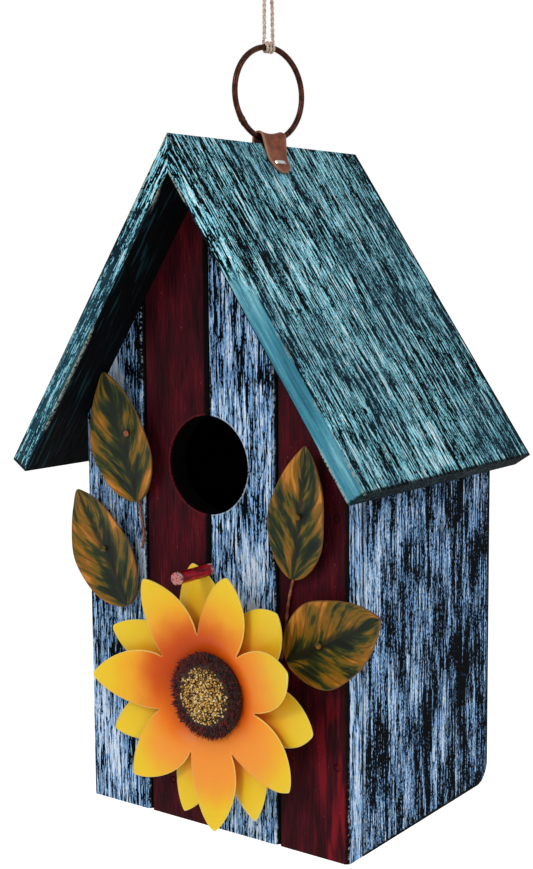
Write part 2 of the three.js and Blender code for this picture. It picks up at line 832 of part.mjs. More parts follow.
for (const [side, word] of [[-1, 'left'], [1, 'right']]) {
  const wall = cut(sideWall(side), bores(/nail/));
  house.add(part(`side_wall_${word}`, wall, finish.blue));
  const panel = cut(roofPanel(side), [...bores(/^roof/), ...stapleSlots(side)]);
  house.add(part(`roof_panel_${word}`, panel, finish.roof));
  house.add(part(`strap_staple_${word}`, stapleSolid(side), finish.steel));
}

house.add(part('back_wall', cut(backWall(), bores(/^back/)), finish.rawWood));
const cleanoutBore = rod(cleanoutDiameter / 2, 3 * floorThickness, Z,
  new THREE.Vector3(coverHole.x, coverHole.y, floorBottom - floorThickness), 36);
const coverScrewBore = screwBore(coverScrewPoint, down, coverScrewLength);
const floorTools = [cleanoutBore, coverScrewBore, ...bores(/floor/)];
house.add(part('floor_board', cut(floorBoard(), floorTools), finish.rawWood));
house.add(part('front_cleat', frontCleat(), finish.rawWood));
house.add(part('hanger_strap', cut(strapSolid(), [...stapleSlots(-1), ...stapleSlots(1)]), finish.leather));

const perchRod = rod(perchDiameter / 2, perchReach + perchInside - gap, Y, perchStart, 16);
house.add(part('perch', perchRod, finish.perch));
// The petal nearest the perch is nipped to clear it.
const notchedPetals = cut(petalLayer(backPetals, backLayerY, 0), [perchBore]);
house.add(part('petals_back', notchedPetals, finish.petal));
house.add(part('petals_front', petalLayer(frontPetals, frontLayerY, dishRise), finish.petal));
house.add(part('flower_spacer', flowerSpacer(), finish.steel));
house.add(part('flower_screw', screwSolid(flowerScrewPoint, front, flowerScrewLength), finish.steel));
house.add(part('flower_centre', flowerCentre(), finish.centre));

leaves.forEach((leaf, i) => {
  house.add(part(`leaf_${leaf.name}`, cut(leafSolid(leaf), nailBores(leafNails[i])), finish.leaf));
  house.add(part(leafNails[i].name, nailSolid(leafNails[i]), finish.copper));
});
stems.forEach((stem) => house.add(part(stem.name, stemSolid(stem), finish.copper)));
nails.forEach((nail) => house.add(part(nail.name, nailSolid(nail), finish.steel)));

house.add(part('cleanout_cover', cleanoutCover(), finish.steel));
house.add(part('cleanout_washer', cleanoutWasher(), finish.steel));
house.add(part('cleanout_screw', screwSolid(coverScrewPoint, down, coverScrewLength), finish.steel));

const ring = new THREE.Group();
ring.position.copy(house.position);
ring.add(part('hanger_ring', ringSolid(), finish.bronze));

const hanger = new THREE.Group();
const hitch = part('twine_hitch', hitchSolid(), finish.twine);
hitch.position.copy(house.position);
hanger.add(hitch);
hanger.add(part('twine_strand_front', twineSolid(strandFrontPoints, 12), finish.twine));
hanger.add(part('twine_strand_back', twineSolid(strandBackPoints, 12), finish.twine));
hanger.add(part('twine_knot', knotSolid(), finish.twine));
hanger.add(part('twine_loop', twineSolid(loopPoints, 20), finish.twine));

const birdhouse = new THREE.Group();
birdhouse.add(hanger, ring, house);

export default birdhouse;
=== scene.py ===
import math
import random
from functools import reduce
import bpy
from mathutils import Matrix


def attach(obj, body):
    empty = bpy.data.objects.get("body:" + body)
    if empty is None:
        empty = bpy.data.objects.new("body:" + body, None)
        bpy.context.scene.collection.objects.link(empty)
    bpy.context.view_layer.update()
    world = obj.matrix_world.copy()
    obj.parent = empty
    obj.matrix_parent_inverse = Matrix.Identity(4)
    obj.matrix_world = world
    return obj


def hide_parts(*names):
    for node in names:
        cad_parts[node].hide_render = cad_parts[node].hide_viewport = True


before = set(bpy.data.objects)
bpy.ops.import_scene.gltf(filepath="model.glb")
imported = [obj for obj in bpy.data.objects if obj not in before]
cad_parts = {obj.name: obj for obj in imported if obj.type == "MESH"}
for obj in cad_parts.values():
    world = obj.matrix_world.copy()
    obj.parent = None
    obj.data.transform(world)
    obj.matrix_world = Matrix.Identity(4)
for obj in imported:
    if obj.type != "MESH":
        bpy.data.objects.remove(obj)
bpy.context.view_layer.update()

from types import SimpleNamespace

import bpy
from mathutils import Matrix, Quaternion, Vector

# ---- Places ----
# House coordinates are millimetres: x right, y back from the board front, z up from the wall bottom.
BALANCE_Y = 41.0
HANG_HEIGHT = 346.9


def spot(x, y, z):
    """A point in house millimetres, as a point in the row frame in metres."""
    return Vector((x, y - BALANCE_Y, z - HANG_HEIGHT)) / 1000


def mm(points):
    """Points in row-frame millimetres, in metres."""
    return [Vector(p) / 1000 for p in points]


RIDGE = 266.0
SLOPE = math.radians(56)
WALL_WIDTH = 127.0
WALL_DEPTH = 108.0
ROOF_FRONT_Y = -21.0
ROOF_BACK_Y = 103.0
ROOF_THICKNESS = 8.0
PERCH_TIP_Y = -20.0
HOLE_Z = 143.0
HOLE_RADIUS = 19.05
FLOWER = (6.0, 56.5)
RING_YAW = math.radians(11)
RING_RADIUS = 17.85
WIRE_RADIUS = 1.15
RING_CENTRE = (0.0, 41.0, 285.35)
WIRE_ALONG = Vector((math.sin(RING_YAW), math.cos(RING_YAW), 0))
STRAP_ALONG = Vector((math.cos(RING_YAW), -math.sin(RING_YAW), 0))

# ---- Camera, at the photograph's angle ----
AZIMUTH = math.radians(36.352)
DOWN = math.radians(6.447)
ROLL = math.radians(-0.444)
DISTANCE = 519.25
AIM = (27.91, 0.0, 156.85)
FOCAL_PX = 1411.54
CENTRE_PX = (266.88, 433.39)
FRAME_PX = (533, 869)
SENSOR_MM = 36


def make_camera():
    level = Vector((-math.sin(AZIMUTH), math.cos(AZIMUTH), 0))
    ahead = level * math.cos(DOWN) + Vector((0, 0, -math.sin(DOWN)))
    flat = Vector((math.cos(AZIMUTH), math.sin(AZIMUTH), 0))
    high = flat.cross(ahead)
    right = math.cos(ROLL) * flat + math.sin(ROLL) * high
    up = -math.sin(ROLL) * flat + math.cos(ROLL) * high
    data = bpy.data.cameras.new("camera")
    camera = bpy.data.objects.new("camera", data)
    bpy.context.scene.collection.objects.link(camera)
    turn = Matrix((right, up, -ahead)).transposed().to_4x4()
    place = spot(*AIM) - ahead * DISTANCE / 1000
    camera.matrix_world = Matrix.Translation(place) @ turn
    data.sensor_fit = "AUTO"
    data.sensor_width = SENSOR_MM
    data.lens = SENSOR_MM * FOCAL_PX / FRAME_PX[1]
    data.shift_x = -(CENTRE_PX[0] - FRAME_PX[0] / 2) / FRAME_PX[1]
    data.shift_y = (CENTRE_PX[1] - FRAME_PX[1] / 2) / FRAME_PX[1]
    data.clip_start = 0.01
    data.clip_end = 60
    bpy.context.scene.camera = camera


make_camera()


# ---- Mesh helpers ----

def new_object(name, mesh):
    piece = bpy.data.objects.new(name, mesh)
    bpy.context.scene.collection.objects.link(piece)
    return piece


def build(name, vertices, faces, attributes=None, smooth=True):
    """A mesh object from points in metres. attributes maps a name to one value for each vertex."""
    mesh = bpy.data.meshes.new(name)
    mesh.from_pydata([tuple(v) for v in vertices], [], faces)
    mesh.validate()
    if smooth:
        mesh.polygons.foreach_set("use_smooth", [True] * len(mesh.polygons))
    for key, values in (attributes or {}).items():
        layer = mesh.attributes.new(key, "FLOAT", "POINT")
        layer.data.foreach_set("value", values)
    mesh.update()
    return new_object(name, mesh)


class Shape:
    """Collects several closed parts into one mesh, with a named value for the vertices of each part."""

    def __init__(self, *names):
        self.vertices = []
        self.faces = []
        self.values = {name: [] for name in names}

    def add(self, vertices, faces, **values):
        start = len(self.vertices)
        self.vertices.extend(vertices)
        self.faces.extend([tuple(start + i for i in face) for face in faces])
        for name, store in self.values.items():
            store.extend([values.get(name, 0.0)] * len(vertices))

    def object(self, name):
        return build(name, self.vertices, self.faces, self.values)


def sheet_faces(rows, columns):
    """Quads of a grid whose vertices run row by row."""
    step = columns + 1
    starts = [i * step + j for i in range(rows) for j in range(columns)]
    return [(a, a + step, a + step + 1, a + 1) for a in starts]


def sheet_metal(piece, thickness_mm):
    """Gives an open sheet its thickness and soft edges."""
    solid = piece.modifiers.new("thickness", "SOLIDIFY")
    solid.thickness = thickness_mm / 1000
    solid.offset = 0
    soft = piece.modifiers.new("soft", "SUBSURF")
    soft.levels = 1
    soft.render_levels = 1


def frames_along(points):
    """Tangents and least-turned side directions along a line of points."""
    last = len(points) - 1
    tangents = [(points[min(i + 1, last)] - points[max(i - 1, 0)]).normalized() for i in range(last + 1)]
    sides = [tangents[0].orthogonal().normalized()]
    for tangent in tangents[1:]:
        sides.append((sides[-1] - tangent * sides[-1].dot(tangent)).normalized())
    return tangents, sides


def circle(count):
    """Angles evenly round a circle."""
    return [2 * math.pi * k / count for k in range(count)]


def hoop_faces(hoops, sides, start=0, closed=False, flip=False):
    """Quads between hoops of vertices that follow one another from the vertex start."""
    total = hoops * sides
    faces = []
    for i in range(hoops if closed else hoops - 1):
        for k in range(sides):
            a = i * sides + k
            b = i * sides + (k + 1) % sides
            quad = [a, b, (b + sides) % total, (a + sides) % total]
            if flip:
                quad[1], quad[3] = quad[3], quad[1]
            faces.append(tuple(start + v for v in quad))
    return faces


def capped_faces(hoops, sides):
    """The quads between open hoops, with a cap on each end."""
    last = hoops * sides
    return hoop_faces(hoops, sides) + [tuple(range(sides))[::-1], tuple(range(last - sides, last))]


def tube(points, radius, sides):
    """Vertices and faces of a capped tube. radius is a number or one for each point."""
    tangents, ways = frames_along(points)
    radii = radius if hasattr(radius, "__len__") else [radius] * len(points)
    vertices = []
    for point, tangent, way, r in zip(points, tangents, ways, radii):
        other = tangent.cross(way)
        vertices += [point + (way * math.cos(turn) + other * math.sin(turn)) * r for turn in circle(sides)]
    return vertices, capped_faces(len(points), sides)


def smooth_route(points, steps):
    """Evenly spaced points on a Catmull-Rom curve through the given points."""
    last = len(points) - 1
    dense = []
    for i in range(last):
        p = [points[max(0, min(last, i + k))] for k in (-1, 0, 1, 2)]
        for j in range(12):
            t = j / 12
            dense.append(0.5 * (2 * p[1] + (p[2] - p[0]) * t
                                + (2 * p[0] - 5 * p[1] + 4 * p[2] - p[3]) * t * t
                                + (3 * p[1] - p[0] - 3 * p[2] + p[3]) * t ** 3))
    dense.append(points[-1])
    gone = [0.0]
    for a, b in zip(dense, dense[1:]):
        gone.append(gone[-1] + (b - a).length)
    out = []
    k = 0
    for i in range(steps + 1):
        want = gone[-1] * i / steps
        while k < len(gone) - 2 and gone[k + 1] < want:
            k += 1
        part = (want - gone[k]) / max(1e-12, gone[k + 1] - gone[k])
        out.append(dense[k].lerp(dense[k + 1], part))
    return out


def twisted(points, thickness, pitch, sides):
    """A laid cord: two plies wound round the line of points, inside the given thickness."""
    tangents, ways = frames_along(points)
    ply = thickness * 0.27
    off = thickness / 2 - ply
    shape = Shape()
    gone = 0.0
    turns = []
    for i, point in enumerate(points):
        if i:
            gone += (point - points[i - 1]).length
        turns.append(2 * math.pi * gone / pitch)
    for start in (0, math.pi):
        line = []
        for point, tangent, way, turn in zip(points, tangents, ways, turns):
            other = tangent.cross(way)
            a = turn + start
            line.append(point + (way * math.cos(a) + other * math.sin(a)) * off)
        shape.add(*tube(line, ply, sides))
    return shape


# ---- The twine comes first: wraps on the ring, two strands, a knot and the hanging loop ----
TWINE = 0.0016
STRAND_FRONT = mm([
    (0, -2.7, -40.6), (0.02, -2.72, -39.2), (0.05, -2.74, -37.8), (0.06, -2.75, -36.4), (0.06, -2.74, -35),
    (0.04, -2.72, -33.6), (0.02, -2.7, -32.2), (0, -2.68, -30.8), (-0.02, -2.62, -29.4),
    (-0.03, -2.52, -28), (-0.03, -2.38, -26.6), (-0.02, -2.18, -25.2), (0, -1.92, -23.8),
    (0, -1.62, -22.4), (0, -1.34, -21), (0, -1.12, -19.5),
])
STRAND_BACK = mm([
    (0, 2.7, -40.6), (-0.02, 2.72, -39.2), (-0.04, 2.74, -37.8), (-0.06, 2.74, -36.4), (-0.06, 2.72, -35),
    (-0.05, 2.7, -33.6), (-0.03, 2.68, -32.2), (0, 2.66, -30.8), (0.02, 2.6, -29.4), (0.03, 2.5, -28),
    (0.03, 2.36, -26.6), (0.02, 2.16, -25.2), (0, 1.9, -23.8), (0, 1.6, -22.4), (0, 1.32, -21),
    (0, 1.12, -19.5),
])
LOOP_FRONT = mm([
    (0, -1.15, -11.6), (0, -1.45, -10.7), (0, -2.1, -9.6), (0, -2.85, -8.3), (0, -3.5, -6.8),
    (0, -3.95, -5.1), (0, -4.05, -3.4), (0, -3.7, -1.8), (0, -2.85, -0.4), (0, -1.5, 0.5),
])
LOOP_BACK = [Vector((0, -p.y, p.z)) for p in LOOP_FRONT[::-1]]
LOOP = LOOP_FRONT + mm([(0, 0, 0.8)]) + LOOP_BACK


def ring_point(angle, out, aside):
    """A point near the ring: angle from its top, out from its centre line, aside from its plane."""
    radius = RING_RADIUS + out
    centre = spot(*RING_CENTRE)
    flat = WIRE_ALONG * math.sin(angle) + Vector((0, 0, 1)) * math.cos(angle)
    return centre + (flat * radius + STRAP_ALONG * aside) / 1000


def make_hitch():
    """Three turns of twine round the wire, from the front strand to the back one."""
    turns = 3
    reach = WIRE_RADIUS + 0.62
    steps = 26 * turns
    line = [STRAND_FRONT[0] + Vector((0, 0, 0.0006))]
    for i in range(steps + 1):
        t = i / steps
        along = (t - 0.5) * 4.9 / RING_RADIUS
        turn = 2 * math.pi * turns * t
        line.append(ring_point(along, reach * math.cos(turn), reach * math.sin(turn)))
    line.append(STRAND_BACK[0] + Vector((0, 0, 0.0006)))
    return twisted(smooth_route(line, 170), 0.00125, 0.0036, 6).object("twine_wraps")


def make_knot():
    """The strands' knot: turns of twine drawn tight round both strands."""
    turns = 3.5
    steps = 90
    line = []
    for i in range(steps + 1):
        t = i / steps
        turn = 2 * math.pi * turns * t + 0.6
        z = -18.4 + 5.6 * t
        swell = 0.86 + 0.14 * math.sin(math.pi * t)
        line.append(Vector((1.85 * swell * math.cos(turn), 2.45 * swell * math.sin(turn), z)) / 1000)
    return twisted(line, 0.00155, 0.004, 7).object("twine_knot_wraps")


def make_twine():
    route = STRAND_FRONT + LOOP + STRAND_BACK[::-1]
    line = smooth_route(route, 260)
    cord = twisted(line, TWINE, 0.0042, 8).object("twine")
    hitch = make_hitch()
    knot = make_knot()
    for piece in (cord, hitch, knot):
        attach(piece, "hanger")
    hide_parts("twine_strand_front", "twine_strand_back", "twine_loop")
    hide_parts("twine_hitch")
    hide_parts("twine_knot")
    return cord, hitch, knot


twine_pieces = make_twine()


# ---- Procedural materials ----
# Every look works in house millimetres, so paint runs on from board to nail head as it does in life.

look = SimpleNamespace()


def begin(name, roughness=0.6, metallic=0.0, specular=0.5, **fixed):
    """Begins a material. Every function below works on the one begun last."""
    look.material = bpy.data.materials.new(name)
    look.material.use_nodes = True
    look.tree = look.material.node_tree
    look.shader = look.tree.nodes["Principled BSDF"]
    look.shader.inputs["Roughness"].default_value = roughness
    look.shader.inputs["Metallic"].default_value = metallic
    look.shader.inputs["Specular IOR Level"].default_value = specular
    for key, value in fixed.items():
        look.shader.inputs[key.replace("_", " ")].default_value = value
    row = new_node("TexCoord").outputs["Object"]
    steps = [(0, row), (1, (1000, 1000, 1000)), (2, (0, BALANCE_Y, HANG_HEIGHT))]
    look.place = new_node("VectorMath", steps, operation="MULTIPLY_ADD").outputs[0]
    look.x, look.y, look.z = new_node("SeparateXYZ", [(0, look.place)]).outputs


def new_node(kind, inputs=(), **settings):
    """A node with its settings and with values or links put on its inputs, in pairs."""
    node = look.tree.nodes.new("ShaderNode" + kind)
    for key, value in settings.items():
        setattr(node, key, value)
    for key, value in inputs:
        put(node.inputs[key], value)
    return node


def put(socket, value):
    if isinstance(value, bpy.types.NodeSocket):
        look.tree.links.new(value, socket)
    elif socket.type == "RGBA":
        socket.default_value = (*value, 1)
    else:
        socket.default_value = value


def calc(operation, *values):
    return new_node("Math", enumerate(values), operation=operation).outputs[0]


def plus(*values):
    return reduce(lambda total, value: calc("ADD", total, value), values)


def times(*values):
    return reduce(lambda total, value: calc("MULTIPLY", total, value), values)


def blend(*pairs):
    """Sum of values, each by its own scale."""
    return plus(*(scaled(value, scale) for value, scale in pairs))


def scaled(value, scale, shift=0.0):
    return calc("MULTIPLY_ADD", value, scale, shift)


def shaken(value, noise, reach):
    """The value moved up and down by a noise, over the given reach in all."""
    return plus(value, scaled(noise, reach, -reach / 2))


def distance(a, b):
    """Length of the flat vector a, b."""
    return calc("SQRT", plus(times(a, a), times(b, b)))


def dot(way):
    pair = [(0, look.place), (1, tuple(way))]
    return new_node("VectorMath", pair, operation="DOT_PRODUCT").outputs["Value"]


def combine(x, y, z):
    return new_node("CombineXYZ", enumerate((x, y, z))).outputs[0]


def rise(value, low, high):
    """0 below low, 1 above high and smooth between them. low over high gives a fall."""
    flip = float(low > high)
    inputs = [("Value", value), ("From Min", min(low, high)), ("From Max", max(low, high)),
              ("To Min", flip), ("To Max", 1 - flip)]
    return new_node("MapRange", inputs, interpolation_type="SMOOTHSTEP").outputs["Result"]


def noise(vector, scale=1.0, detail=2.0, rough=0.5, warp=0.0):
    inputs = [("Vector", vector), ("Scale", scale), ("Detail", detail), ("Roughness", rough),
              ("Distortion", warp)]
    return new_node("TexNoise", inputs).outputs[0]


def clouds(scale, detail=2.0, rough=0.5):
    """Noise the same in every direction, scale to the millimetre."""
    return noise(look.place, scale, detail, rough)


def ramp(value, stops):
    """Colours blended between stops, which are pairs of a place and a web colour code."""
    stops = list(stops)
    node = new_node("ValToRGB", [(0, value)])
    elements = node.color_ramp.elements
    while len(elements) < len(stops):
        elements.new(0.5)
    for element, (at, code) in zip(elements, stops):
        element.position = at
        element.color = (*srgb(code), 1)
    return node.outputs[0]


def mix(share, a, b):
    return new_node("Mix", [(0, share), (6, a), (7, b)], data_type="RGBA").outputs[2]


def over(color, code, *shares):
    """The colour with another brushed over it, by the product of the shares."""
    return mix(times(*shares), color, srgb(code))


def attribute(name):
    return new_node("Attribute", attribute_name=name).outputs["Fac"]


def grain(along, across, along_mm, across_mm):
    """Coordinates stretched along the grain, in units of the given lengths."""
    third = Vector(along).cross(Vector(across))
    ways = ((along, along_mm), (across, across_mm), (third, across_mm))
    return combine(*(scaled(dot(way), 1 / size) for way, size in ways))


def streaks(along, across, along_mm, across_mm, detail=2.0, rough=0.5, warp=0.0):
    """Noise stretched along the grain."""
    return noise(grain(along, across, along_mm, across_mm), 1.0, detail, rough, warp)


def done(color, height, depth_mm, strength, rough=None):
    """Joins colour, bump and roughness to the shader and gives the finished material."""
    put(look.shader.inputs["Base Color"], color)
    if rough is not None:
        put(look.shader.inputs["Roughness"], rough)
    inputs = [("Strength", strength), ("Distance", depth_mm / 1000), ("Height", height)]
    put(look.shader.inputs["Normal"], new_node("Bump", inputs).outputs[0])
    return look.material


def srgb(code):
    """A linear colour from a web colour code."""
    out = []
    for i in (1, 3, 5):
        c = int(code[i:i + 2], 16) / 255
        out.append(c / 12.92 if c <= 0.04045 else ((c + 0.055) / 1.055) ** 2.4)
    return tuple(out)


UP = (0, 0, 1)
BACK = (0, 1, 0)
RIGHT = (1, 0, 0)


PAINT_COVER = 0.0215


def worn_paint(along, across, tones, cover, cloud=0.24, salt=0.22):
    """Dry-brushed paint over a dark ground: its colour and its height. tones are five colours, from
    the ground to the palest fleck. cover shifts the whole towards more paint, cloud says how much
    that changes over long patches and salt how gritty it is."""
    fine = streaks(along, across, 6.5, 0.72, 3, 0.65, 0.4)
    line = streaks(along, across, 30, 1.25, 2, 0.6)
    island = streaks(along, across, 12, 2.4, 3, 0.65, 0.5)
    grit = streaks(along, across, 1.1, 0.6, 2, 0.6)
    patch = streaks(along, across, 46, 13, 2, 0.6)
    height = plus(scaled(fine, 0.42), scaled(line, 0.38), scaled(island, 0.2),
                  scaled(patch, cloud, -cloud / 2), scaled(grit, salt, -salt / 2), cover)
    for run, gap in ((60, 2.4), (16, 1.5)):
        split = streaks(along, across, run, gap, 2, 0.5, 0.2)
        crack = rise(calc("ABSOLUTE", plus(split, -0.5)), 0.034, 0.012)
        height = plus(height, scaled(crack, -0.11))
    height = plus(height, PAINT_COVER)
    ground, dark, mid, light, fleck = tones
    color = ramp(height, [(0, ground), (0.468, ground), (0.475, dark), (0.483, mid), (0.502, light),
                          (0.56, light), (0.6, fleck)])
    return color, height


def finish_paint(color, height):
    """Duller and lower where the ground shows."""
    rough = scaled(rise(height, 0.44, 0.56), -0.14, 0.8)
    return done(color, rise(height, 0.42, 0.6), 0.2, 0.9, rough)


ROOF_TONES = ("#030507", "#0d1c22", "#2d7f98", "#94e2f4", "#f8feff")
BLUE_TONES = ("#040609", "#121c28", "#41709f", "#88b6e8", "#dceaf9")


def roof_look(name, side):
    begin(name, specular=0.05)
    down = (side * math.cos(SLOPE), 0, -math.sin(SLOPE))
    out = (side * math.sin(SLOPE), 0, math.cos(SLOPE))
    reach = plus(dot(down), RIDGE * math.sin(SLOPE))
    level = plus(dot(out), -RIDGE * math.cos(SLOPE))
    uneven = clouds(0.09, 2)
    near_front = rise(shaken(look.y, uneven, 14), -9, -19)
    far_back = rise(look.y, 60, 108)
    low_front = times(near_front, rise(shaken(reach, uneven, 60), 118, 96))
    # The right panel has one patch of thicker paint near its eave.
    rub = 0.0
    if side > 0:
        aside = calc("ABSOLUTE", plus(look.y, -37))
        ahead = calc("ABSOLUTE", plus(reach, -138))
        rub = scaled(times(rise(aside, 9, 5), rise(shaken(ahead, uneven, 8), 11, 8)), 0.07)
    cover = plus(scaled(low_front, -0.012), scaled(far_back, -0.022), rub,
                 -0.023 if side > 0 else -0.034)
    color, height = worn_paint(down, BACK, ROOF_TONES, cover, cloud=0.18, salt=0.26)
    tint = rise(clouds(0.03, 1), 0.42, 0.62)
    color = mix(times(tint, 0.3), color, over(color, "#2b4f66", 0.75))
    # The front edge is brushed smooth towards its lower end.
    strip = rise(look.y, ROOF_FRONT_Y + 0.4, ROOF_FRONT_Y + 0.1)
    brushed = streaks(down, out, 38, 2.2, 3)
    smooth = ramp(brushed, [(0.3, "#2c6478"), (0.5, "#4791a8"), (0.7, "#84c4d2")])
    share = times(strip, rise(shaken(reach, uneven, 50), 52, 78))
    share = times(share, 0.9 if side > 0 else 0.12)
    color = mix(share, color, smooth)
    # Black underside, with a few teal brush marks near the front.
    marks = rise(streaks(down, BACK, 20, 1.6, 3), 0.56, 0.64)
    under = mix(times(marks, rise(look.y, 2, -20)), srgb("#0a0c0e"), srgb("#1c3f48"))
    color = mix(rise(level, 0.6 - ROOF_THICKNESS, 0.2 - ROOF_THICKNESS), color, under)
    # One nail shows as a dark dot on the right panel.
    if side > 0:
        aside = plus(look.y, -5.6)
        ahead = plus(reach, -119.8)
        far = distance(aside, ahead)
        color = over(color, "#050607", rise(shaken(far, uneven, 1.0), 1.7, 1.2))
    # Arrises: worn pale at the lower front corner, and dark along the back and the eave.
    broken = clouds(0.9, 3, 0.7)
    # The eave's end face is coloured near black: painted shade.
    eave = rise(shaken(reach, broken, 1.6), 148.4, 149.4)
    rear = rise(shaken(look.y, broken, 1.6), ROOF_BACK_Y - 1.2, ROOF_BACK_Y - 0.1)
    color = over(color, "#090d10", calc("MAXIMUM", times(eave, 0.93), rear))
    low = times(rise(level, -7.0, -7.7), rise(look.y, -19.4, -20.7))
    high = times(rise(level, -1.1, -0.3), rise(look.y, -19.8, -20.7))
    patchy = rise(streaks(down, BACK, 26, 9, 2), 0.5, 0.56)
    worn = times(calc("MAXIMUM", low, high), rise(broken, 0.42, 0.52), patchy)
    color = over(color, "#b7c2b4", worn, 0.6)
    return finish_paint(color, height)


def front_look(name, red):
    begin(name, specular=0.05)
    seam = calc("PINGPONG", plus(look.x, WALL_WIDTH / 2), WALL_WIDTH / 8)
    broken = clouds(0.7, 3, 0.7)
    edge = shaken(seam, broken, 1.6)
    if red:
        fine = streaks(UP, RIGHT, 9, 0.7, 4, 0.6)
        patch = streaks(UP, RIGHT, 42, 9, 3, 0.6)
        level = blend((fine, 0.45), (patch, 0.55))
        color = ramp(level, [(0.3, "#14070a"), (0.42, "#290c12"), (0.52, "#3e0e17"),
                             (0.62, "#5a111c"), (0.70, "#821d28")])
        speck = rise(streaks(UP, RIGHT, 2.2, 0.7, 3, 0.7), 0.66, 0.72)
        color = over(color, "#a9707a", speck, rise(patch, 0.5, 0.62))
        height = blend((fine, 0.5), (level, 0.5))
        streak = rise(streaks(UP, RIGHT, 34, 4.5, 3), 0.47, 0.6)
        corner = times(rise(look.x, 44, 56), rise(look.z, 80, 40))
        color = over(color, "#871622", streak, corner, 0.75)
        color = over(color, "#0b0809", rise(edge, 2.2, 0.9))
        # The board's outer edge is painted with the side wall.
        side_color, _ = worn_paint(UP, BACK, BLUE_TONES, 0.03)
        outer = rise(look.x, 63.22, 63.3)
        color = mix(outer, color, side_color)
        arris = times(rise(look.x, 62.6, 63.0), rise(look.x, 63.34, 63.2))
        flake = times(arris, rise(look.z, 46, 14), rise(broken, 0.5, 0.58))
        color = over(color, "#b9b4b0", flake, 0.6)
        rim = "#6a2228"
    else:
        # Less paint towards the top of the blue boards: painted shade under the eave.
        cover = scaled(rise(look.z, 140, 190), -0.034, 0.024)
        color, height = worn_paint(UP, RIGHT, BLUE_TONES, cover, cloud=0.5)
        line = times(rise(edge, 0.9, 1.2), rise(edge, 1.9, 1.5),
                     rise(broken, 0.52, 0.58))
        color = over(color, "#cfdbe6", line, 0.55)
        color = over(color, "#090b0f", rise(edge, 1.2, 0.6))
        rim = "#b9c9d6"
    away = distance(look.x, plus(look.z, -HOLE_Z))
    ring = times(rise(away, HOLE_RADIUS + 0.7, HOLE_RADIUS + 0.3), rise(look.y, 0.5, 0.2))
    color = over(color, rim, ring, 0.7, rise(broken, 0.42, 0.52))
    inside = rise(look.y, 0.5, 1.4)
    reach = rise(away, 25, 22)
    hidden = calc("MAXIMUM", times(inside, reach), rise(look.y, 9.4, 9.8))
    color = over(color, "#0d0b0b", hidden)
    if red:
        return done(color, height, 0.22, 0.7, scaled(height, 0.25, 0.36))
    return finish_paint(color, height)


def side_look(name, side):
    begin(name, specular=0.05)
    broken = clouds(0.05, 2)
    # Less paint towards the back, and towards the top as painted shade under the eave.
    back = rise(shaken(look.y, broken, 40), 48, 88)
    top = rise(shaken(look.z, broken, 40), 112, 150)
    cover = plus(scaled(back, -0.028), scaled(top, -0.014), -0.032)
    color, height = worn_paint(UP, BACK, BLUE_TONES, cover, cloud=0.5, salt=0.4)
    # The right wall has one smooth patch under the eave.
    smooth = times(rise(shaken(look.y, broken, 6), 51, 53), rise(look.y, 79, 77),
                   rise(shaken(look.z, broken, 12), 132, 137))
    if side > 0:
        color = over(color, "#5c86b4", smooth, 0.75)
    nick = clouds(0.8, 3, 0.7)
    front = times(rise(look.y, 11.9, 11.2), rise(nick, 0.42, 0.52))
    color = over(color, "#b3c6d8", front, 0.5)
    rear = rise(shaken(look.y, nick, 2.4), WALL_DEPTH - 2.4, WALL_DEPTH - 0.6)
    foot = rise(shaken(look.z, nick, 2.0), 1.6, 0.5)
    color = over(color, "#090b0f", calc("MAXIMUM", rear, foot))
    inner = rise(calc("ABSOLUTE", look.x), 62.9, 62.4)
    color = over(color, "#0e0c0c", inner)
    return finish_paint(color, height)


def stained_look(name, along, across, tones):
    """Thin dark stain over bare board, for the back, the floor and the inside."""
    begin(name, specular=0.3)
    rings = streaks(along, across, 60, 2.4, 3, 0.6, 0.8)
    pore = streaks(along, across, 7, 0.4, 3, 0.7)
    level = blend((rings, 0.6), (pore, 0.4))
    color = ramp(level, zip((0.32, 0.5, 0.66), tones))
    rough = scaled(level, 0.3, 0.6)
    return done(color, level, 0.25, 0.8, rough)


def petal_look(name, warm):
    """Sprayed enamel, orange at the heart and yellow at the tips, with a pale line on each edge: cream
    paint, and in part a painted highlight of the lit sheet edge.
    """
    begin(name, 0.4, specular=0.18)
    dx = plus(look.x, -FLOWER[0])
    dz = plus(look.z, -FLOWER[1])
    away = distance(dx, dz)
    drift = clouds(0.07, 2)
    fog = clouds(2.6, 2)
    reach = plus(away, scaled(drift, 9, -4.5), scaled(fog, 1.6, -0.8), warm)
    color = ramp(scaled(reach, 1 / 60), [
        (0.26, "#e2560e"), (0.39, "#f07818"), (0.5, "#f69a2a"),
        (0.6, "#f4b428"), (0.72, "#f3c72b"), (0.9, "#f2d034")])
    # Painted shade deepens the orange on the upper left petals, and painted light brightens the lower
    # ones.
    shade = times(rise(blend((dx, -0.6), (dz, 0.8)), 2, 17), rise(reach, 36, 22))
    color = over(color, "#c43e02", shade, 0.8)
    glow = times(rise(blend((dz, -1), (dx, 0.25)), 9, 22), rise(reach, 44, 30))
    color = over(color, "#fb9a3c", glow, 0.75)
    rim = attribute("rim")
    uneven = clouds(0.35, 3)
    # A pale line along each edge: cream paint, and in part a painted highlight of the lit sheet edge.
    cream = times(rise(shaken(rim, uneven, 0.4), 0.5, 0.12),
                  rise(away, 22, 27))
    color = over(color, "#f4e384", cream, 0.6)
    chip = rise(clouds(0.42, 4, 0.75), 0.735, 0.75)
    color = over(color, "#5a3a16", chip, rise(rim, 2.0, 0.6))
    rough = scaled(fog, 0.16, 0.28)
    return done(color, plus(scaled(fog, 0.25), clouds(0.5, 3)), 0.09, 0.6, rough)


# Spacing and lean of the leaves' side veins, as shares of the length and of the half width.
VEIN_STEP = 0.145
VEIN_SLANT = 0.34


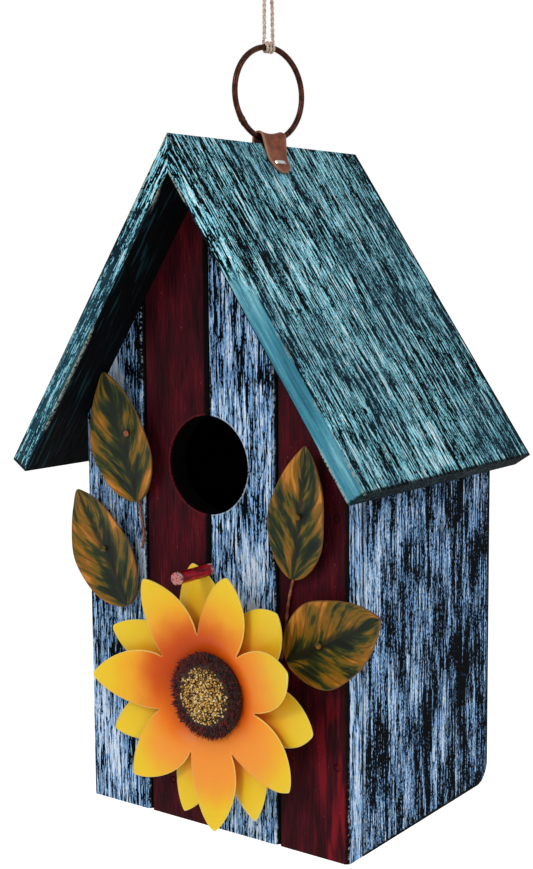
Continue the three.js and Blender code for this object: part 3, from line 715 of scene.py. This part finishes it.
def leaf_look(name):
    """Brushed olive, ochre and dark green strokes that follow the side veins."""
    begin(name, 0.42, specular=0.2)
    u = attribute("u")
    v = attribute("v")
    half = calc("ABSOLUTE", v)
    seed = attribute("seed")
    slant = plus(u, scaled(half, -VEIN_SLANT))
    flank = calc("SIGN", v)
    fine = combine(scaled(slant, 12), scaled(half, 1.5), plus(scaled(seed, 7.3), flank))
    wide = combine(scaled(slant, 4.5), scaled(half, 1.3), plus(scaled(seed, 3.1), flank))
    brush = noise(fine, 1.0, 4, 0.62, 0.5)
    broad = noise(wide, 1.0, 3)
    level = plus(blend((brush, 0.5), (broad, 0.7), (half, 0.09)), -0.115)
    color = ramp(level, [
        (0.36, "#0b120d"), (0.455, "#1a2716"), (0.505, "#343b14"), (0.55, "#6b5512"),
        (0.63, "#935e16"), (0.71, "#c8822c")])
    rib = shaken(half, brush, 0.2)
    color = over(color, "#141d12", rise(rib, 0.2, 0.05), 0.85)
    vein = rise(calc("PINGPONG", plus(slant, 0.03), VEIN_STEP / 2), 0.014, 0.003)
    color = over(color, "#11190f", vein, 0.45)
    rim = attribute("rim")
    color = over(color, "#6e4a20", rise(rim, 0.45, 0.2), 0.8)
    return done(color, brush, 0.2, 0.8, scaled(brush, 0.25, 0.28))


def leaf_nail_look(name):
    begin(name, 0.5, specular=0.3)
    brush = clouds(0.8, 3, 0.6)
    color = ramp(brush, [(0.4, "#2a2a12"), (0.52, "#5f4c16"), (0.62, "#96671c")])
    return done(color, brush, 0.1, 0.6)


def metal_look(name, tones, metallic, roughness, grain_mm=0.8, depth=0.04):
    begin(name, roughness, metallic)
    cloud = clouds(0.28, 3, 0.6)
    fine = clouds(1 / grain_mm, 3, 0.7)
    level = blend((cloud, 0.6), (fine, 0.4))
    color = ramp(level, zip((0.36, 0.5, 0.64), tones))
    rough = scaled(level, 0.5, roughness - 0.25)
    return done(color, fine, depth, 0.6, rough)


def leather_look(name):
    begin(name, 0.5, specular=0.3)
    pebble = clouds(2.4, 3, 0.6)
    cloud = clouds(0.22, 3)
    level = blend((cloud, 0.65), (pebble, 0.35))
    color = ramp(level, [(0.36, "#55291a"), (0.5, "#7c4029"), (0.62, "#99583c")])
    rim = attribute("rim")
    color = over(color, "#b08468", rise(rim, 0.9, 0.1), 0.7)
    return done(color, pebble, 0.12, 0.7, scaled(pebble, 0.3, 0.38))


def twine_look(name):
    begin(name, 0.92, specular=0.2, Sheen_Weight=0.3, Sheen_Roughness=0.6)
    fibre = noise(look.place, 3.2, 4, 0.7, 1.2)
    cloud = clouds(0.5, 2)
    level = blend((fibre, 0.65), (cloud, 0.35))
    color = ramp(level, [(0.34, "#6b5546"), (0.47, "#bf9f8a"), (0.58, "#ecdccb")])
    return done(color, fibre, 0.14, 0.9)


def perch_look(name):
    begin(name, 0.3, specular=0.3, Coat_Weight=0.25, Coat_Roughness=0.1)
    cloud = streaks(BACK, RIGHT, 7, 1.2, 3)
    color = ramp(cloud, [(0.36, "#5c0208"), (0.5, "#960810"), (0.62, "#c8121a")])
    broken = clouds(1.1, 3, 0.7)
    along = shaken(look.y, broken, 1.6)
    tip = rise(along, PERCH_TIP_Y + 1.8, PERCH_TIP_Y + 1)
    root = rise(along, -1.7, -0.9)
    worn = times(calc("MAXIMUM", tip, root), rise(broken, 0.44, 0.52))
    color = over(color, "#e2c6c2", worn)
    face = rise(look.y, PERCH_TIP_Y + 0.3, PERCH_TIP_Y + 0.1)
    color = over(color, "#bb6a68", face, rise(broken, 0.4, 0.58))
    return done(color, broken, 0.1, 0.5)


def seed_look(name):
    """Dark brown seed head: part 0 is the crumbly ground, 1 the bristles and 2 the gold grains."""
    begin(name, 0.8)
    kind = attribute("kind")
    tone = attribute("tone")
    crumb = clouds(1.3, 3, 0.7)
    ground = ramp(crumb, [(0.36, "#0f0a08"), (0.52, "#2a1611"), (0.66, "#4c2416")])
    hair = ramp(tone, [(0.0, "#1c0b0b"), (0.55, "#47141a"), (1.0, "#8a2a22")])
    gold = ramp(tone, [(0.0, "#5a3f14"), (0.3, "#a87426"), (0.62, "#dca63e"), (0.86, "#f1d68c"),
                       (1.0, "#fff4d2")])
    color = mix(rise(kind, 0.4, 0.6), ground, hair)
    color = mix(rise(kind, 1.4, 1.6), color, gold)
    return done(color, crumb, 0.25, 0.8)


def paint_node(node, material):
    """Gives a CAD node a material in all its slots."""
    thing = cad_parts[node]
    if not thing.material_slots:
        thing.data.materials.append(material)
    for each in thing.material_slots:
        each.link = "OBJECT"
        each.material = material


def give(piece, material):
    piece.data.materials.clear()
    piece.data.materials.append(material)


def settle(piece, paint, body, node):
    """Paints a piece, puts it on its body and lets it stand for a CAD node."""
    give(piece, looks[paint])
    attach(piece, body)
    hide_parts(node)


SIDES = (("left", -1), ("right", 1))
looks = {}
for word, side in SIDES:
    looks["roof_" + word] = roof_look("teal_roof_" + word, side)
    looks["side_" + word] = side_look("blue_side_" + word, side)
looks["blue"] = front_look("blue_front", False)
looks["red"] = front_look("red_front", True)
RAW = ("#2a1d14", "#4a3423", "#6a4d34")
STAIN = ("#120f0d", "#221c17", "#3a2f26")
looks["back"] = stained_look("stained_back", UP, RIGHT, STAIN)
looks["floor"] = stained_look("bare_floor", RIGHT, BACK, RAW)
looks["petal_front"] = petal_look("petal_enamel_front", 0.0)
looks["petal_back"] = petal_look("petal_enamel_back", 4.5)
looks["leaf"] = leaf_look("leaf_paint")
looks["leaf_nail"] = leaf_nail_look("leaf_nail_paint")
looks["copper"] = metal_look("copper_wire", ("#4a2618", "#8a4c30", "#b87450"), 0.6, 0.45)
looks["bronze"] = metal_look("bronze_ring", ("#2c140d", "#47241a", "#6d3d2a"), 0.85, 0.3, 1.6, 0.02)
looks["steel"] = metal_look("dull_steel", ("#6a6a6a", "#9a9a98", "#c4c4c0"), 0.9, 0.42)
looks["bright"] = metal_look("staple_steel", ("#a8a8a6", "#dcdcd8", "#f4f4f0"), 0.8, 0.3)
looks["leather"] = leather_look("strap_leather")
looks["twine"] = twine_look("jute_twine")
looks["perch"] = perch_look("perch_enamel")
looks["seed"] = seed_look("seed_head")
PAINTED = {
    "back": "back_wall",
    "floor": "floor_board front_cleat",
    "perch": "perch",
    "steel": "flower_spacer flower_screw cleanout_cover cleanout_washer cleanout_screw",
    "bronze": "hanger_ring",
    "leather": "hanger_strap",
    "bright": "strap_staple_left strap_staple_right",
    "petal_front": "petals_front",
    "petal_back": "petals_back",
    "seed": "flower_centre",
    "leaf": "leaf_upper_left leaf_lower_left leaf_upper_right leaf_lower_right",
    "leaf_nail": "leaf_nail_lower_left leaf_nail_upper_right leaf_nail_lower_right",
    "copper": "leaf_nail_upper_left leaf_stem_left leaf_stem_right",
}


def soften(node, width_mm):
    """Takes the sharpness off a CAD board's arrises."""
    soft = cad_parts[node].modifiers.new("arris", "BEVEL")
    soft.width = width_mm / 1000
    soft.segments = 2
    soft.limit_method = "ANGLE"
    soft.angle_limit = math.radians(50)


for piece in twine_pieces:
    give(piece, looks["twine"])
for word, side in SIDES:
    paint_node("roof_panel_" + word, looks["roof_" + word])
    paint_node("side_wall_" + word, looks["side_" + word])
    for i in (1, 2, 3):
        paint_node(f"roof_nail_{word}_{i}", looks["roof_" + word])
    for i in (1, 2):
        paint_node(f"back_nail_{word}_{i}", looks["side_" + word])
        paint_node(f"front_nail_{word}_{i}", looks["red" if side > 0 else "blue"])
    paint_node("floor_nail_" + word, looks["side_" + word])
    paint_node("front_floor_nail_" + word, looks["blue" if side > 0 else "red"])
for i in range(4):
    paint_node(f"front_board_{i + 1}", looks["red" if i % 2 else "blue"])
for paint, nodes in PAINTED.items():
    for node in nodes.split():
        paint_node(node, looks[paint])
for node in ("roof_panel_left", "roof_panel_right", "side_wall_left", "side_wall_right", "back_wall"):
    soften(node, 0.5)
for i in range(4):
    soften(f"front_board_{i + 1}", 0.4)
soften("perch", 0.35)


# ---- Flower ----
SHEET = 0.8
PETAL_SPLIT = 23.5
PETAL_REACH = 49.7
PETAL_CUP = 1.6
BACK_LAYER_Y = -(5.7 + 0.6 + SHEET / 2)
FRONT_LAYER_Y = BACK_LAYER_Y - SHEET - 0.3
DISH_RISE = 4.2
# Direction and forward bend of each petal's tip, in degrees and millimetres.
FRONT_PETALS = [(22, 14), (74, 6.6), (119, 10), (177, 11.6), (227, 6.2), (281, 10), (326, 6.6)]
BACK_PETALS = [(47, 4.3), (104, -4), (155, 5.6), (204, 5), (256, 2.8), (299, 5), (353, 4.3)]
INNER_RADII = (2.6, 9.0, 16.7, 19.6, PETAL_SPLIT)


def flower_point(radius, angle, y):
    return spot(FLOWER[0] + radius * math.cos(angle), y, FLOWER[1] + radius * math.sin(angle))


def make_petals(name, petals, middle_y, rim_rise, seed):
    chance = random.Random(seed)
    rows = 22
    columns = 12
    first = len(INNER_RADII) - 1
    vertices = []
    faces = []
    rims = []
    welded = {}
    for index, (degrees, bend) in enumerate(petals):
        direction = math.radians(degrees)
        before = math.radians((degrees - petals[index - 1][0]) % 360) / 2
        after = math.radians((petals[(index + 1) % len(petals)][0] - degrees) % 360) / 2
        lean = chance.uniform(-0.5, 0.5)
        grid = {}
        for i in range(first + rows + 1):
            for j in range(columns + 1):
                across = 2 * j / columns - 1
                t = max(0, i - first) / rows
                along = 1 - (1 - t) ** 1.35
                radius = INNER_RADII[i] if i < first else PETAL_SPLIT + along * (PETAL_REACH - PETAL_SPLIT)
                half = before if across < 0 else after
                spread = max(0.0, 1 - along ** 1.18) ** 0.80
                angle = direction + across * half * spread
                rim = rim_rise * (0, 0, 0, 0.5, 1)[min(i, first)]
                wave = math.sin(math.pi * along)
                cup = PETAL_CUP * across * across * wave
                fold = 0.35 * math.exp(-(across / 0.2) ** 2) * wave
                twist = lean * across * along
                lift = rim + (bend - rim) * along ** 1.2 - cup - fold + twist
                point = flower_point(radius, angle, middle_y - lift)
                side = (1 - abs(across)) * half * spread * radius
                edge = min(side, (1 - along) * (PETAL_REACH - PETAL_SPLIT) * 0.8) if i >= first else 9.0
                # Neighbours share the vertices of their seam, and each tip is one vertex.
                key = (index, i, j)
                if i <= first and abs(across) == 1:
                    key = tuple(round(c * 1e6) for c in point)
                if i == first + rows:
                    key = (index, "tip")
                if key not in welded:
                    welded[key] = len(vertices)
                    vertices.append(point)
                    rims.append(edge)
                grid[i, j] = welded[key]
        for i in range(first + rows):
            for j in range(columns):
                face = [grid[i, j], grid[i + 1, j], grid[i + 1, j + 1], grid[i, j + 1]]
                face = [v for k, v in enumerate(face) if v != face[k - 1]]
                if len(face) > 2:
                    faces.append(tuple(face))
    piece = build(name, vertices, faces, {"rim": rims})
    sheet_metal(piece, SHEET)
    return piece


def make_flower():
    front = make_petals("flower_petals_front", FRONT_PETALS, FRONT_LAYER_Y, DISH_RISE, 3)
    back = make_petals("flower_petals_back", BACK_PETALS, BACK_LAYER_Y, 0.0, 5)
    settle(front, "petal_front", "house", "petals_front")
    settle(back, "petal_back", "house", "petals_back")


CENTRE_RADIUS = 16.4
CENTRE_EDGE = 1.2
CENTRE_DOME = 3.1
HAIRS = 900
GRAINS = 1000
GRAIN_REACH = 11.4
GRAIN_CORNERS = [(1, 0, 0), (-1, 0, 0), (0, 1, 0), (0, -1, 0), (0, 0, 1), (0, 0, -1)]
GRAIN_FACES = [(0, 2, 4), (2, 1, 4), (1, 3, 4), (3, 0, 4), (2, 0, 5), (1, 2, 5), (3, 1, 5), (0, 3, 5)]
CENTRE_BACK_Y = FRONT_LAYER_Y - SHEET / 2 - 0.3


def centre_height(radius):
    """Height of the seed head's dome over its back, at a distance from the middle."""
    return CENTRE_EDGE + CENTRE_DOME * math.sqrt(max(0.0, 1 - (radius / CENTRE_RADIUS) ** 2))


def on_centre(radius, angle, height):
    return flower_point(radius, angle, CENTRE_BACK_Y - height)


def make_centre():
    chance = random.Random(11)
    shape = Shape("kind", "tone")
    sides = 64
    rings = [(0.6, 2.8), (4.1, 2.8), (4.3, 0.05), (15.4, 0.05), (16.1, 0.4), (16.4, 0.9)]
    dome = [16.2, 15.6, 14.8, *range(13, 0, -1)]
    vertices = [on_centre(0, 0, 2.8)]
    for radius, height in rings:
        vertices += [on_centre(radius, turn, height) for turn in circle(sides)]
    for radius in dome:
        for turn in circle(sides):
            bump = chance.uniform(-0.35, 0.3)
            vertices.append(on_centre(radius + bump * 0.4, turn, centre_height(radius) + bump))
    vertices.append(on_centre(0, 0, centre_height(0)))
    faces = hoop_faces(len(rings) + len(dome), sides, start=1, flip=True)
    last = len(vertices) - 1
    for k in range(sides):
        after = (k + 1) % sides
        faces.append((0, 1 + k, 1 + after))
        faces.append((last, last - sides + after, last - sides + k))
    shape.add(vertices, faces)
    # Bristles round the rim, leaning outwards.
    for _ in range(HAIRS):
        radius = chance.uniform(GRAIN_REACH, CENTRE_RADIUS - 0.1)
        angle = chance.uniform(0, 2 * math.pi)
        root = on_centre(radius, angle, centre_height(radius) - 0.4)
        out = Vector((math.cos(angle), 0, math.sin(angle)))
        around = Vector((-math.sin(angle), 0, math.cos(angle)))
        lean = out * chance.uniform(0.35, 1.0) + Vector((0, -1, 0)) * chance.uniform(0.35, 0.8)
        lean = (lean + around * chance.uniform(-0.45, 0.45)).normalized()
        length = chance.uniform(1.3, 2.5) / 1000
        bow = around * chance.uniform(-0.2, 0.2) / 1000
        line = [root, root + lean * length * 0.5 + bow, root + lean * length]
        shape.add(*tube(line, [0.00026, 0.0002, 0.00006], 4), kind=1.0, tone=chance.random())
    # Gold grains, close in the middle and thinner outwards.
    made = 0
    while made < GRAINS:
        radius = GRAIN_REACH * math.sqrt(chance.random())
        if chance.random() < (radius / GRAIN_REACH) ** 3 * 0.85:
            continue
        made += 1
        angle = chance.uniform(0, 2 * math.pi)
        grain = chance.uniform(0.26, 0.56) / 1000
        middle = on_centre(radius, angle, centre_height(radius) + 0.15)
        spin = Quaternion((chance.random() + 0.1, *(chance.random() for _ in range(3)))).normalized()
        points = [middle + spin @ (Vector(w) * grain * chance.uniform(0.8, 1.3)) for w in GRAIN_CORNERS]
        shape.add(points, GRAIN_FACES, kind=2.0, tone=chance.random())
    settle(shape.object("seed_head"), "seed", "house", "flower_centre")


# ---- Leaves ----
# Base, tip, half width and how far the tip stands off, as on the boards.
LEAVES = {
    "upper_left": ((-34, 126), (-46, 177.5), 15, 5),
    "lower_left": ((-39.5, 83.5), (-62.5, 129.5), 15.5, 4),
    "upper_right": ((41, 104), (50, 154.5), 12.5, 4),
    "lower_right": ((38, 73), (82.5, 96.5), 16, 6),
}
LEAF_LIFT = 2.7
LEAF_CUP = 2.6
LEAF_BASE_POWER = 0.6
LEAF_TIP_POWER = 0.85
LEAF_WIDEST_AT = 0.414


def make_leaf(word, base, tip, half, tip_lift, seed):
    chance = random.Random(seed)
    base = Vector(base)
    along = Vector(tip) - base
    length = along.length
    along.normalize()
    across = Vector((along.y, -along.x))
    rows = 54
    columns = 28
    widest = LEAF_WIDEST_AT ** LEAF_BASE_POWER * (1 - LEAF_WIDEST_AT) ** LEAF_TIP_POWER
    phase = chance.uniform(0, 6.28)
    vertices = []
    values = {"u": [], "v": [], "rim": [], "seed": []}
    for i in range(rows + 1):
        u = 0.004 + 0.992 * i / rows
        width = half * u ** LEAF_BASE_POWER * (1 - u) ** LEAF_TIP_POWER / widest
        for j in range(columns + 1):
            v = 2 * j / columns - 1
            ripple = 1 + 0.018 * math.sin(15 * u + phase + (2 if v > 0 else 0))
            place = base + along * u * length + across * v * width * ripple
            cup = LEAF_CUP * v * v * math.sin(math.pi * min(1, u * 1.1))
            height = LEAF_LIFT + tip_lift * u ** 1.6 + cup
            slant = u - VEIN_SLANT * abs(v)
            nearest = abs((slant / VEIN_STEP) % 1 - 0.5) * VEIN_STEP
            vein = math.exp(-(nearest / 0.016) ** 2) * min(1, 4 * (1 - abs(v)))
            rib = math.exp(-(v * width / 1.1) ** 2)
            puff = 0.28 * math.cos(2 * math.pi * slant / VEIN_STEP) * min(1, 3 * (1 - abs(v)))
            height += 0.3 * rib * (1 - u) + 0.14 * vein + 0.35 * puff * math.sin(math.pi * u)
            vertices.append(spot(place.x, -height, place.y))
            values["u"].append(u)
            values["v"].append(v)
            values["rim"].append(min((1 - abs(v)) * width, 0.7 * (1 - u) * length, 0.7 * u * length))
            values["seed"].append(float(seed))
    piece = build("leaf_sheet_" + word, vertices, sheet_faces(rows, columns), values)
    sheet_metal(piece, SHEET)
    settle(piece, "leaf", "house", "leaf_" + word)


make_flower()
make_centre()
for number, (word, shape_values) in enumerate(LEAVES.items()):
    make_leaf(word, *shape_values, number + 1)


# ---- Strap and ring ----
STRAP_WIDTH = 12.6
STRAP_THICKNESS = 1.1
STRAP_REACH = 14.8
STRAP_LANDING = 6.8
STRAP_ROUND = 0.2


def strap_line(across):
    """The strap's middle line at one place across it, over the ridge and the wire."""
    off = across * STRAP_WIDTH / 2
    arch = WIRE_RADIUS + 0.35 + STRAP_THICKNESS / 2 + RING_RADIUS - math.sqrt(RING_RADIUS ** 2 - off ** 2)
    shift = -off * math.tan(RING_YAW)
    clear = 0.3 + STRAP_THICKNESS / 2
    wire_height = RING_CENTRE[2] - RING_RADIUS

    def at(reach, z):
        place = Vector((0, RING_CENTRE[1], z)) + WIRE_ALONG * off + STRAP_ALONG * reach
        return spot(*place)

    def on_slope(side, down):
        x = side * (down * math.cos(SLOPE) + clear * math.sin(SLOPE))
        return at(shift + x / math.cos(RING_YAW), RIDGE - down * math.sin(SLOPE) + clear * math.cos(SLOPE))

    def over(degrees):
        turn = math.radians(degrees)
        return at(arch * math.sin(turn), wire_height + arch * math.cos(turn))

    flat = (STRAP_REACH, (STRAP_REACH + STRAP_LANDING) / 2, STRAP_LANDING)
    left = [on_slope(-1, down) for down in flat]
    right = [on_slope(1, down) for down in flat[::-1]]
    return smooth_route(left + [over(degrees) for degrees in (-72, -36, 0, 36, 72)] + right, 240)


def make_strap():
    rows = 64
    columns = 14
    vertices = []
    rims = []
    for i in range(rows + 1):
        u = 0.5 - math.cos(math.pi * i / rows) / 2
        from_end = min(1.0, min(u, 1 - u) / STRAP_ROUND)
        wide = math.sqrt(max(0.0, 1 - (1 - from_end) ** 2))
        for j in range(columns + 1):
            across = (2 * j / columns - 1) * max(wide, 0.02)
            line = strap_line(across)
            vertices.append(line[min(len(line) - 1, round(u * (len(line) - 1)))])
            rims.append(min((1 - abs(2 * j / columns - 1)) * wide * STRAP_WIDTH / 2, min(u, 1 - u) * 44))
    piece = build("leather_strap", vertices, sheet_faces(rows, columns), {"rim": rims})
    sheet_metal(piece, STRAP_THICKNESS - 0.04)
    settle(piece, "leather", "house", "hanger_strap")


def make_ring():
    """Round bronze wire with a lumpy weld low down on its left."""
    chance = random.Random(8)
    sides = 12
    count = 128
    vertices = []
    for angle in circle(count):
        weld = math.exp(-(((angle - 4.05) + math.pi) % (2 * math.pi) - math.pi) ** 2 / 0.012)
        lumps = 0.22 * weld * (1 + 0.5 * math.sin(70 * angle))
        thick = WIRE_RADIUS * (1 + lumps + chance.uniform(-0.008, 0.008))
        for turn in circle(sides):
            vertices.append(ring_point(angle, thick * math.cos(turn), thick * math.sin(turn)))
    faces = hoop_faces(count, sides, closed=True, flip=True)
    settle(build("wire_ring", vertices, faces), "bronze", "ring", "hanger_ring")


STEMS = {
    "left": [(-34.5, 129), (-33.6, 121), (-32.2, 114), (-33, 107.5)],
    "right": [(41, 107), (38.6, 98), (37.2, 90), (36.2, 81), (34.5, 73)],
}


def make_stems():
    for word, points in STEMS.items():
        line = smooth_route([spot(x, -1.0, z) for x, z in points], 40)
        thick = [0.00065 * (0.86 + 0.14 * math.sin(1.3 * i)) for i in range(len(line))]
        piece = build("stem_" + word, *tube(line, thick, 10))
        settle(piece, "copper", "house", "leaf_stem_" + word)


STAPLE_DISTANCE = 10.4
STAPLE_FORWARD = 1.2
STAPLE_CROWN = 6.4
STAPLE_WIRE = ((-0.62, -0.36), (0.62, -0.36), (0.74, 0), (0.62, 0.36), (-0.62, 0.36), (-0.74, 0))
STAPLE_LIFT = STRAP_THICKNESS + 0.4


def make_staple(word, side):
    """Flat bright wire: a crown pressed on the leather and two legs down into the roof board."""
    out = Vector((side * math.sin(SLOPE), 0, math.cos(SLOPE)))
    down = Vector((side * math.cos(SLOPE), 0, -math.sin(SLOPE)))
    shift = side * STAPLE_DISTANCE * math.cos(SLOPE) * math.tan(RING_YAW)
    over = 0.3 + STAPLE_LIFT
    top = Vector((0, RING_CENTRE[1] - STAPLE_FORWARD - shift, RIDGE))
    middle = top + down * STAPLE_DISTANCE + out * over
    half = STAPLE_CROWN / 2 - 0.45
    route = [(-half, -3.6), (-half, -0.5), (-half + 0.12, -0.14), (-half + 0.5, 0), (half - 0.5, 0),
             (half - 0.12, -0.14), (half, -0.5), (half, -3.6)]
    line = [middle + Vector((0, 1, 0)) * a + out * b for a, b in route]
    vertices = []
    for k, place in enumerate(line):
        before = line[max(0, k - 1)]
        after = line[min(len(line) - 1, k + 1)]
        ahead = (after - before).normalized()
        up = ahead.cross(down).normalized()
        for a, b in STAPLE_WIRE:
            vertices.append(spot(*(place + down * a + up * b)))
    piece = build("staple_" + word, vertices, capped_faces(len(line), len(STAPLE_WIRE)), smooth=False)
    settle(piece, "bright", "house", "strap_staple_" + word)


for word, side in SIDES:
    make_staple(word, side)
make_strap()
make_ring()
make_stems()


# ---- Stage and light ----
FLOOR_REACH = 30
FLOOR_Z = -0.62


def camera_share(nodes, links, unseen, seen):
    """One strength for what lights the piece and another for what stands behind it in the picture."""
    path = nodes.new("ShaderNodeLightPath")
    level = nodes.new("ShaderNodeMapRange")
    level.inputs["To Min"].default_value = unseen
    level.inputs["To Max"].default_value = seen
    links.new(path.outputs["Is Camera Ray"], level.inputs["Value"])
    return level.outputs["Result"]


def make_stage():
    mesh = bpy.data.meshes.new("floor")
    corners = [(-1, -1), (1, -1), (1, 1), (-1, 1)]
    mesh.from_pydata([(FLOOR_REACH * x, FLOOR_REACH * y, FLOOR_Z) for x, y in corners], [], [(0, 1, 2, 3)])
    floor = new_object("floor", mesh)
    material = bpy.data.materials.new("floor")
    material.use_nodes = True
    nodes, links = material.node_tree.nodes, material.node_tree.links
    shader = nodes["Principled BSDF"]
    shader.inputs["Base Color"].default_value = (0.93, 0.93, 0.92, 1)
    shader.inputs["Roughness"].default_value = 0.9
    shader.inputs["Emission Color"].default_value = (1, 1, 1, 1)
    links.new(camera_share(nodes, links, 0.1, 0.5), shader.inputs["Emission Strength"])
    mesh.materials.append(material)
    world = bpy.data.worlds.new("studio")
    world.use_nodes = True
    nodes, links = world.node_tree.nodes, world.node_tree.links
    nodes["Background"].inputs["Color"].default_value = (1, 1, 1, 1)
    links.new(camera_share(nodes, links, 0.6, 1.0), nodes["Background"].inputs["Strength"])
    bpy.context.scene.world = world


def make_light(name, place, aim, size, power, color=(1, 1, 1)):
    data = bpy.data.lights.new(name, "AREA")
    data.size = size
    data.energy = power
    data.color = color
    light = bpy.data.objects.new(name, data)
    bpy.context.scene.collection.objects.link(light)
    light.location = place
    light.rotation_euler = (Vector(aim) - Vector(place)).to_track_quat("-Z", "Y").to_euler()


make_stage()
MIDDLE = (0, 0, -0.2)
make_light("key", (-0.35, -1.5, 0.75), MIDDLE, 0.5, 8)
make_light("side", (1.6, -0.3, 0.5), MIDDLE, 0.8, 5)

scene = bpy.context.scene
scene.view_settings.view_transform = "Standard"
scene.view_settings.look = "None"
